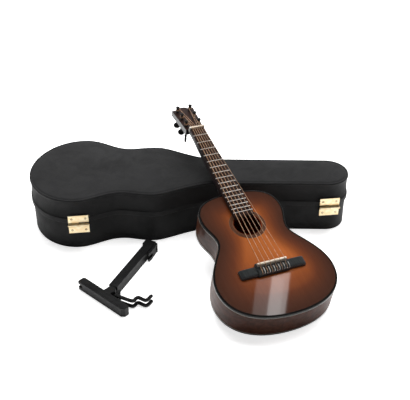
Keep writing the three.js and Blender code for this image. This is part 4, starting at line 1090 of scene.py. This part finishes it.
def makeStrings():
    k, b = strings, bridge
    back = b["y"] - b["blockWidth"] / 2
    toHead = guitarPlace.inverted() @ headPlace
    for i in range(k["count"]):
        number, r, spot = i + 1, k["radii"][i], i - (k["count"] - 1) / 2
        finish = "woundString" if i < k["wound"] else "plainString"
        x, nutX = spot * k["saddleSpacing"], spot * k["nutSpacing"]
        side = math.copysign(1, spot)
        row = k["row"][i]
        pegNumber = row * 2 + (1 if side < 0 else 2)
        top = b["blockHeight"] + r
        saddleZ, nutZ = b["saddleTop"] + r, neck["nutTop"] - k["slotDepth"] + r
        nutY = neck["nutY"] + 1.4
        postX, postZ = head["offset"] - k["postR"] - 0.01 - r, k["postZ"]
        onPost = toHead @ (Vector((side * postX, head["rows"][row] - 0.4, postZ)) * unit) / unit
        behind = [(x, back + 0.1, 2.9), (x, back + 0.45, 3.75 + r), (x, back + 1.5, top - 0.1),
                  (x, back + 2.2, top + 0.03), (x, back + 4.3, top + 0.05),
                  (x, b["saddleY"] - 0.85, saddleZ - 0.45)]
        over = [(x, b["saddleY"] - 0.2, saddleZ), (x, b["saddleY"] + 0.5, saddleZ - 0.02)]
        long = [(x + (nutX - x) * t, b["saddleY"] + 0.5 + (nutY - b["saddleY"] - 0.5) * t,
                 saddleZ + (nutZ - saddleZ) * t)
                for t in (0.25, 0.5, 0.75, 0.99)]
        past = [(nutX, nutY + 0.6, nutZ - 0.06)]
        path = smoothLine(behind, 4)[:-1] + smoothLine([behind[-1]] + over, 4) + [Vector(p) for p in long]
        path += [Vector(p) for p in past] + [onPost]
        makePiece(f"string_{number}_wire", tube(path, r, 12), finish, "guitar", f"string_{number}",
                  guitarPlace)
        # The tie at the bridge: the free end comes back over the block between this string and the next.
        beside = x + k["tieAside"]
        loop = [(beside - 0.3, back + 0.2, 2.95), (beside - 0.05, back + 0.45, 3.7 + r),
                (beside, back + 1.55, top - 0.05), (beside, back + 2.3, top + 0.03),
                (beside, back + 4.2, top + 0.04), (beside - 0.05, back + 4.9, top - 0.3)]
        tie = tube(smoothLine(loop, 5), r * 0.95, 10)
        if number % 2 == 0:  # the knot of a string end
            knot = lathe([(0.01, -0.45), (0.38, -0.25), (0.45, 0), (0.38, 0.25), (0.01, 0.45)], 14, "x")
            tie = together(tie, shifted(knot, x, back + 0.35, 3.3))
        makePiece(f"string_{number}_tie", tie, "stringTie", "guitar",
                  place=guitarPlace)
        coil, steps, coilR = [], 56, k["postR"] + r
        for n in range(steps + 1):
            turn = k["turns"] * n / steps
            a = math.radians(180 if side > 0 else 0) + side * 2 * math.pi * turn
            coil.append((coilR * math.cos(a), coilR * math.sin(a), postZ - 2.1 * r * turn))
        place = headPlace @ moved(side * head["offset"], head["rows"][row], 0)
        makePiece(f"string_{number}_coil", tube(coil, r * 0.95, 10), finish, f"peg_{pegNumber}",
                  place=place)


makeTop()
makeSides()
makeNeck()
makeHead()
makeBridge()
makeStrings()
print("guitar made")

# The stand, in its own frame: x to the front, y up the spine, z across, which is up as it lies.

stand = {
    "place": (-58.6, -115.6, 0.05), "turn": -23.5, "across": 8.2, "spineBack": 4.2, "spineFront": 3.4,
    "spineLength": 65, "baseSlope": 17.2, "rear": 27, "front": 25, "baseHeight": 7, "pivot": 3.85,
    "earR": 3.7, "tongue": 2.9, "pinR": 0.9, "armR": 1.5, "armSpacing": 5.2, "hub": (6.6, 3.6), "hubR": 1.8,
    "rest": (4.9, 70.4), "restR": 1.2, "restLength": 15.5, "restThick": 1.6, "crossPinR": 0.6,
    "restPinR": 0.45, "gap": 0.3, "headLength": 8, "headBack": 1.6, "forkDepth": 5, "forkHalf": 1.2,
    "eyeR": 1.9, "restLugHalf": 1.3, "restSlotHalf": 1.6,
}
standPlace = moved(*stand["place"]) @ turned("Z", stand["turn"])


def makeStand():
    k = stand
    W, mid = k["across"], k["across"] / 2
    ear = (W - k["tongue"]) / 2 - k["gap"]
    foot = standPlace @ moved(0, k["pivot"], 0) @ turned("Z", -k["baseSlope"])
    top = -k["earR"] - k["gap"]
    low = top - k["baseHeight"]
    # The bar ends in two prongs behind and a chamfer in front; each half is one side of the fork.
    outline = [(-k["rear"] + 0.6, low), (k["front"] - 2.5, low), (k["front"], low + 2.2),
               (k["front"], top - 1), (k["front"] - 1, top), (-k["rear"] + 1.3, top), (-k["rear"], top - 1.3),
               (-k["rear"], low + 0.8)]
    core = [(k["forkDepth"] - k["rear"], low), (k["front"] - 2.5, low), (k["front"], low + 2.2),
            (k["front"], top - 1), (k["front"] - 1, top), (k["forkDepth"] - k["rear"], top)]
    inner, outer = mid - k["forkHalf"], mid + k["forkHalf"]
    layers = [extruded(outline, 0, inner), extruded(core, inner, outer), extruded(outline, outer, W)]
    bar = fused("stand_foot", layers + [lug(k["earR"], top, z, z + ear) for z in (0, W - ear)])
    makePiece("stand_foot", bar, "plastic", "stand_base", "stand_base", foot, bevel=0.45,
              steps=3, angle=35)
    lowRib = slab(-k["rear"] + 3, k["front"] - 3.4, low + 1.5, low + 2.3, W - 0.02, W + 0.22)
    highRib = slab(-k["rear"] + 3, k["front"] - 3.4, top - 2.0, top - 1.4, W - 0.02, W + 0.18)
    makePiece("stand_foot_ribs", together(lowRib, highRib), "plastic", "stand_base",
              place=foot, bevel=0.1)
    makePiece("stand_pivot_rod", pinForm(k["pinR"], W), "plastic", "stand_base", "stand_pivot_pin",
              foot, angle=50)

    shoulder = k["pivot"] + k["earR"] + k["gap"]
    rear, front, L = -k["spineBack"], k["spineFront"], k["spineLength"]
    hub, rest = k["hub"], k["rest"]
    lugHalf = (k["armSpacing"] - 2 * k["armR"] - 2 * k["gap"]) / 2
    end, back = L + k["headLength"], rear - k["headBack"]
    column = [(rear, shoulder), (front, shoulder), (front, end), (back + 0.8, end), (back, end - 0.8),
              (back, L + 1), (rear, L - 1.2)]
    forms = [extruded(column, 0, W)]
    inner, outer = mid - k["tongue"] / 2, mid + k["tongue"] / 2
    forms.append(extruded(circle(0, k["pivot"], k["earR"] - 0.2, 36), inner, outer))
    forms.append(slab(-k["earR"] + 0.4, k["earR"] - 0.4, k["pivot"], shoulder + 1, inner, outer))
    forms.append(slab(2, hub[0], hub[1] - 1.6, hub[1] + 1.6, mid - lugHalf, mid + lugHalf))
    forms.append(extruded(circle(*hub, k["hubR"], 28), mid - lugHalf, mid + lugHalf))
    r, inner, outer = k["restR"], mid - k["restLugHalf"], mid + k["restLugHalf"]
    forms.append(slab(0, rest[0], rest[1] - r, rest[1] + r, inner, outer))
    forms.append(extruded(circle(*rest, r, 28), inner, outer))
    makePiece("stand_column", fused("stand_column", forms), "plastic", "stand_spine", "stand_spine",
              standPlace, bevel=0.4, steps=3, angle=35)
    rib = slab(-0.7, 0.9, shoulder + 3, L - 2, W - 0.02, W + 0.3)
    makePiece("stand_column_rib", rib, "plastic", "stand_spine", place=standPlace,
              bevel=0.2)

    route = [(hub[0], hub[1] - 3.2), (13, -0.1), (20.8, -0.2), (22.0, 1.0), (22.3, 3.9), (23.6, 5.3),
             (29.4, 4.7), (30.9, 5.9), (31.6, 11)]
    for side, z in [("lower", mid - k["armSpacing"] / 2), ("upper", mid + k["armSpacing"] / 2)]:
        wire = tube(smoothLine([(x, y, z) for x, y in route], 6), k["armR"], 18)
        eye = shifted(rod(k["eyeR"], z - k["armR"], z + k["armR"], "z", 28, 0.2), *hub, 0)
        neckDown = slab(hub[0] - 0.95, hub[0] + 0.95, hub[1] - 3.2, hub[1], z - k["armR"] + 0.1,
                        z + k["armR"] - 0.1)
        makePiece(f"{side}_cradle_wire", together(wire, eye, neckDown), "plastic", "cradle",
                  f"{side}_cradle_arm", standPlace, angle=50)
    makePiece("cradle_pin_rod", shifted(pinForm(k["crossPinR"], W), *hub, 0), "plastic", "stand_spine",
              "cradle_pin", standPlace, angle=50)

    t, length = k["restThick"], k["restLength"]
    eye, slotHalf, far = k["restR"], k["restSlotHalf"], 0.58 * length
    yoke = [(-t / 2, 0), (t / 2, 0), (t / 2 + 0.8, -length * 0.75), (t / 2 + 0.4, -length),
            (-t / 2, -length + 1.5)]
    cheeks = [extruded(yoke, 0, mid - slotHalf), extruded(yoke, mid + slotHalf, W)]
    cheeks += [extruded(circle(0, 0, eye, 28), 0, mid - slotHalf),
               extruded(circle(0, 0, eye, 28), mid + slotHalf, W)]
    slope = [(-t / 2, -eye - 0.7), (t / 2 + 0.1, -eye - 0.7), (t / 2 + 0.8 * far / (length * 0.75), -far),
             (-t / 2, -far)]
    web = extruded(slope, mid - slotHalf, mid + slotHalf)
    restPlace = standPlace @ moved(*rest, 0)
    makePiece("neck_rest_yoke", fused("neck_rest_yoke", cheeks + [web]), "plastic", "neck_rest", "neck_rest",
              restPlace, bevel=0.35, steps=3, angle=35)
    makePiece("neck_rest_rod", pinForm(k["restPinR"], W), "plastic", "stand_spine", "neck_rest_pin",
              restPlace, angle=50)


def pinForm(radius, across):
    # A pin that ends in a shallow dome at each face.
    return lathe([(0.01, 0), (radius * 0.7, 0.05), (radius, 0.3), (radius, across - 0.3),
                  (radius * 0.7, across - 0.05), (0.01, across)], 24)


def lug(radius, top, z0, z1):
    return extruded([(-radius, top - 1), (radius, top - 1)] + circle(0, 0, radius, 25, 0, 180), z0, z1)


def fused(name, forms):
    # Joins overlapping solids into one skin.
    objects = []
    for n, form in enumerate(forms):
        mesh = bpy.data.meshes.new(f"{name}{n}")
        mesh.from_pydata([Vector(p) for p in form[0]], [], form[1])
        work = bmesh.new()
        work.from_mesh(mesh)
        bmesh.ops.remove_doubles(work, verts=work.verts, dist=1e-5)
        bmesh.ops.recalc_face_normals(work, faces=work.faces)
        work.to_mesh(mesh)
        work.free()
        part = bpy.data.objects.new(f"{name}{n}", mesh)
        bpy.context.collection.objects.link(part)
        objects.append(part)
    first = objects[0]
    for other in objects[1:]:
        add = first.modifiers.new("add", "BOOLEAN")
        add.object = other
        add.operation = "UNION"
        add.solver = "EXACT"
    bpy.context.view_layer.update()
    mesh = first.evaluated_get(bpy.context.evaluated_depsgraph_get()).to_mesh()
    form = [tuple(v.co) for v in mesh.vertices], [list(p.vertices) for p in mesh.polygons]
    for part in objects:
        bpy.data.objects.remove(part)
    return form


makeStand()
print("stand made")

# Floor and studio light.

studio = {
    "floor": 3.0, "floorTone": 0.9, "floorFill": 0.14, "floorGloss": 1.0, "floorLift": 0.72, "horizon": 0.85,
    "sky": 0.04, "fill": 0.13, "key": {"place": (0.15, 0.55, 1.5), "size": (1.9, 1.3), "power": 50},
    "windows": [
        {"spot": (-6.0, 18.0), "size": (13.0, 36.0), "away": 0.9, "power": 0.04},
        {"spot": (-13.5, 19.5), "size": (20.0, 30.0), "away": 0.7, "power": 0.012},
    ],
}


def makeFloor():
    size = studio["floor"]
    mesh = bpy.data.meshes.new("floor")
    mesh.from_pydata([(-size, -size, 0), (size, -size, 0), (size, size, 0), (-size, size, 0)], [],
                     [(0, 1, 2, 3)])
    floor = bpy.data.objects.new("floor", mesh)
    bpy.context.collection.objects.link(floor)
    material = bpy.data.materials.new("floor")
    material.use_nodes = True
    tree = material.node_tree
    shader = tree.nodes["Principled BSDF"]
    path = addNode(tree, "ShaderNodeLightPath")
    seen = addNode(tree, "ShaderNodeMix", {"Factor": path.outputs["Is Camera Ray"], "A": studio["floorFill"],
                                           "B": studio["floorTone"]})
    shone = addNode(tree, "ShaderNodeMix",
                    {"Factor": path.outputs["Is Glossy Ray"], "A": seen.outputs["Result"],
                                            "B": studio["floorGloss"]})
    grey = addNode(tree, "ShaderNodeCombineColor",
                   {c: shone.outputs["Result"] for c in ("Red", "Green", "Blue")})
    tree.links.new(grey.outputs[0], shader.inputs["Base Color"])
    lift = doMath(tree, "MULTIPLY", path.outputs["Is Camera Ray"], studio["floorLift"])
    shader.inputs["Emission Color"].default_value = (1, 1, 1, 1)
    tree.links.new(lift, shader.inputs["Emission Strength"])
    shader.inputs["Roughness"].default_value = 0.9
    shader.inputs["Specular IOR Level"].default_value = 0.1
    mesh.materials.append(material)


def makeWorld():
    # Bright walls all round and a dimmer ceiling, as in a white studio.
    world = bpy.data.worlds.new("studio")
    bpy.context.scene.world = world
    world.use_nodes = True
    tree = world.node_tree
    way = addNode(tree, "ShaderNodeTexCoord").outputs["Generated"]
    up = addNode(tree, "ShaderNodeSeparateXYZ", {"Vector": way}).outputs["Z"]
    path = addNode(tree, "ShaderNodeLightPath")
    tone = spread(tree, up, 0.35, 0.7, studio["horizon"], studio["sky"])
    fill = doMath(tree, "MULTIPLY", tone, studio["fill"])
    amount = addNode(tree, "ShaderNodeMix", {"Factor": path.outputs["Is Diffuse Ray"], "A": tone, "B": fill})
    tree.links.new(amount.outputs["Result"], tree.nodes["Background"].inputs["Strength"])
    tree.nodes["Background"].inputs["Color"].default_value = (1.0, 1.0, 1.0, 1)


def areaLight(name, place, target, size, power, colour=(1, 1, 1)):
    light = bpy.data.lights.new(name, "AREA")
    light.shape = "RECTANGLE"
    light.size, light.size_y = size
    light.energy = power
    light.color = colour
    lamp = bpy.data.objects.new(name, light)
    lamp.location = place
    lamp.rotation_euler = (Vector(target) - Vector(place)).to_track_quat("-Z", "Y").to_euler()
    bpy.context.collection.objects.link(lamp)
    return lamp


def makeLights():
    key = studio["key"]
    lamp = areaLight("key", key["place"], (0.0, -0.05, 0.0), key["size"], key["power"])
    lamp.visible_glossy = False
    # Tall windows that show in the varnish below the bridge.
    normal = (guitarPlace.to_3x3() @ Vector((0, 0, 1))).normalized()
    eye = Vector(view["place"])
    for number, glow in enumerate(studio["windows"], 1):
        spot = guitarPlace @ (Vector((*glow["spot"], 0)) * unit)
        ray = (spot - eye).normalized()
        away = ray - 2 * ray.dot(normal) * normal
        reach = (spot - eye).length
        scale = (reach + glow["away"]) / reach
        width, height = (s * unit * scale for s in glow["size"])
        lamp = areaLight(f"window_{number}", spot + away * glow["away"], spot, (width, height), glow["power"])
        across = Vector((1, 0, 0))
        side = (across - away * across.dot(away)).normalized()
        lamp.rotation_euler = Matrix((side, away.cross(side), away)).transposed().to_euler()


makeFloor()
makeWorld()
makeLights()
bpy.context.scene.view_settings.view_transform = "Standard"
print("studio lit")
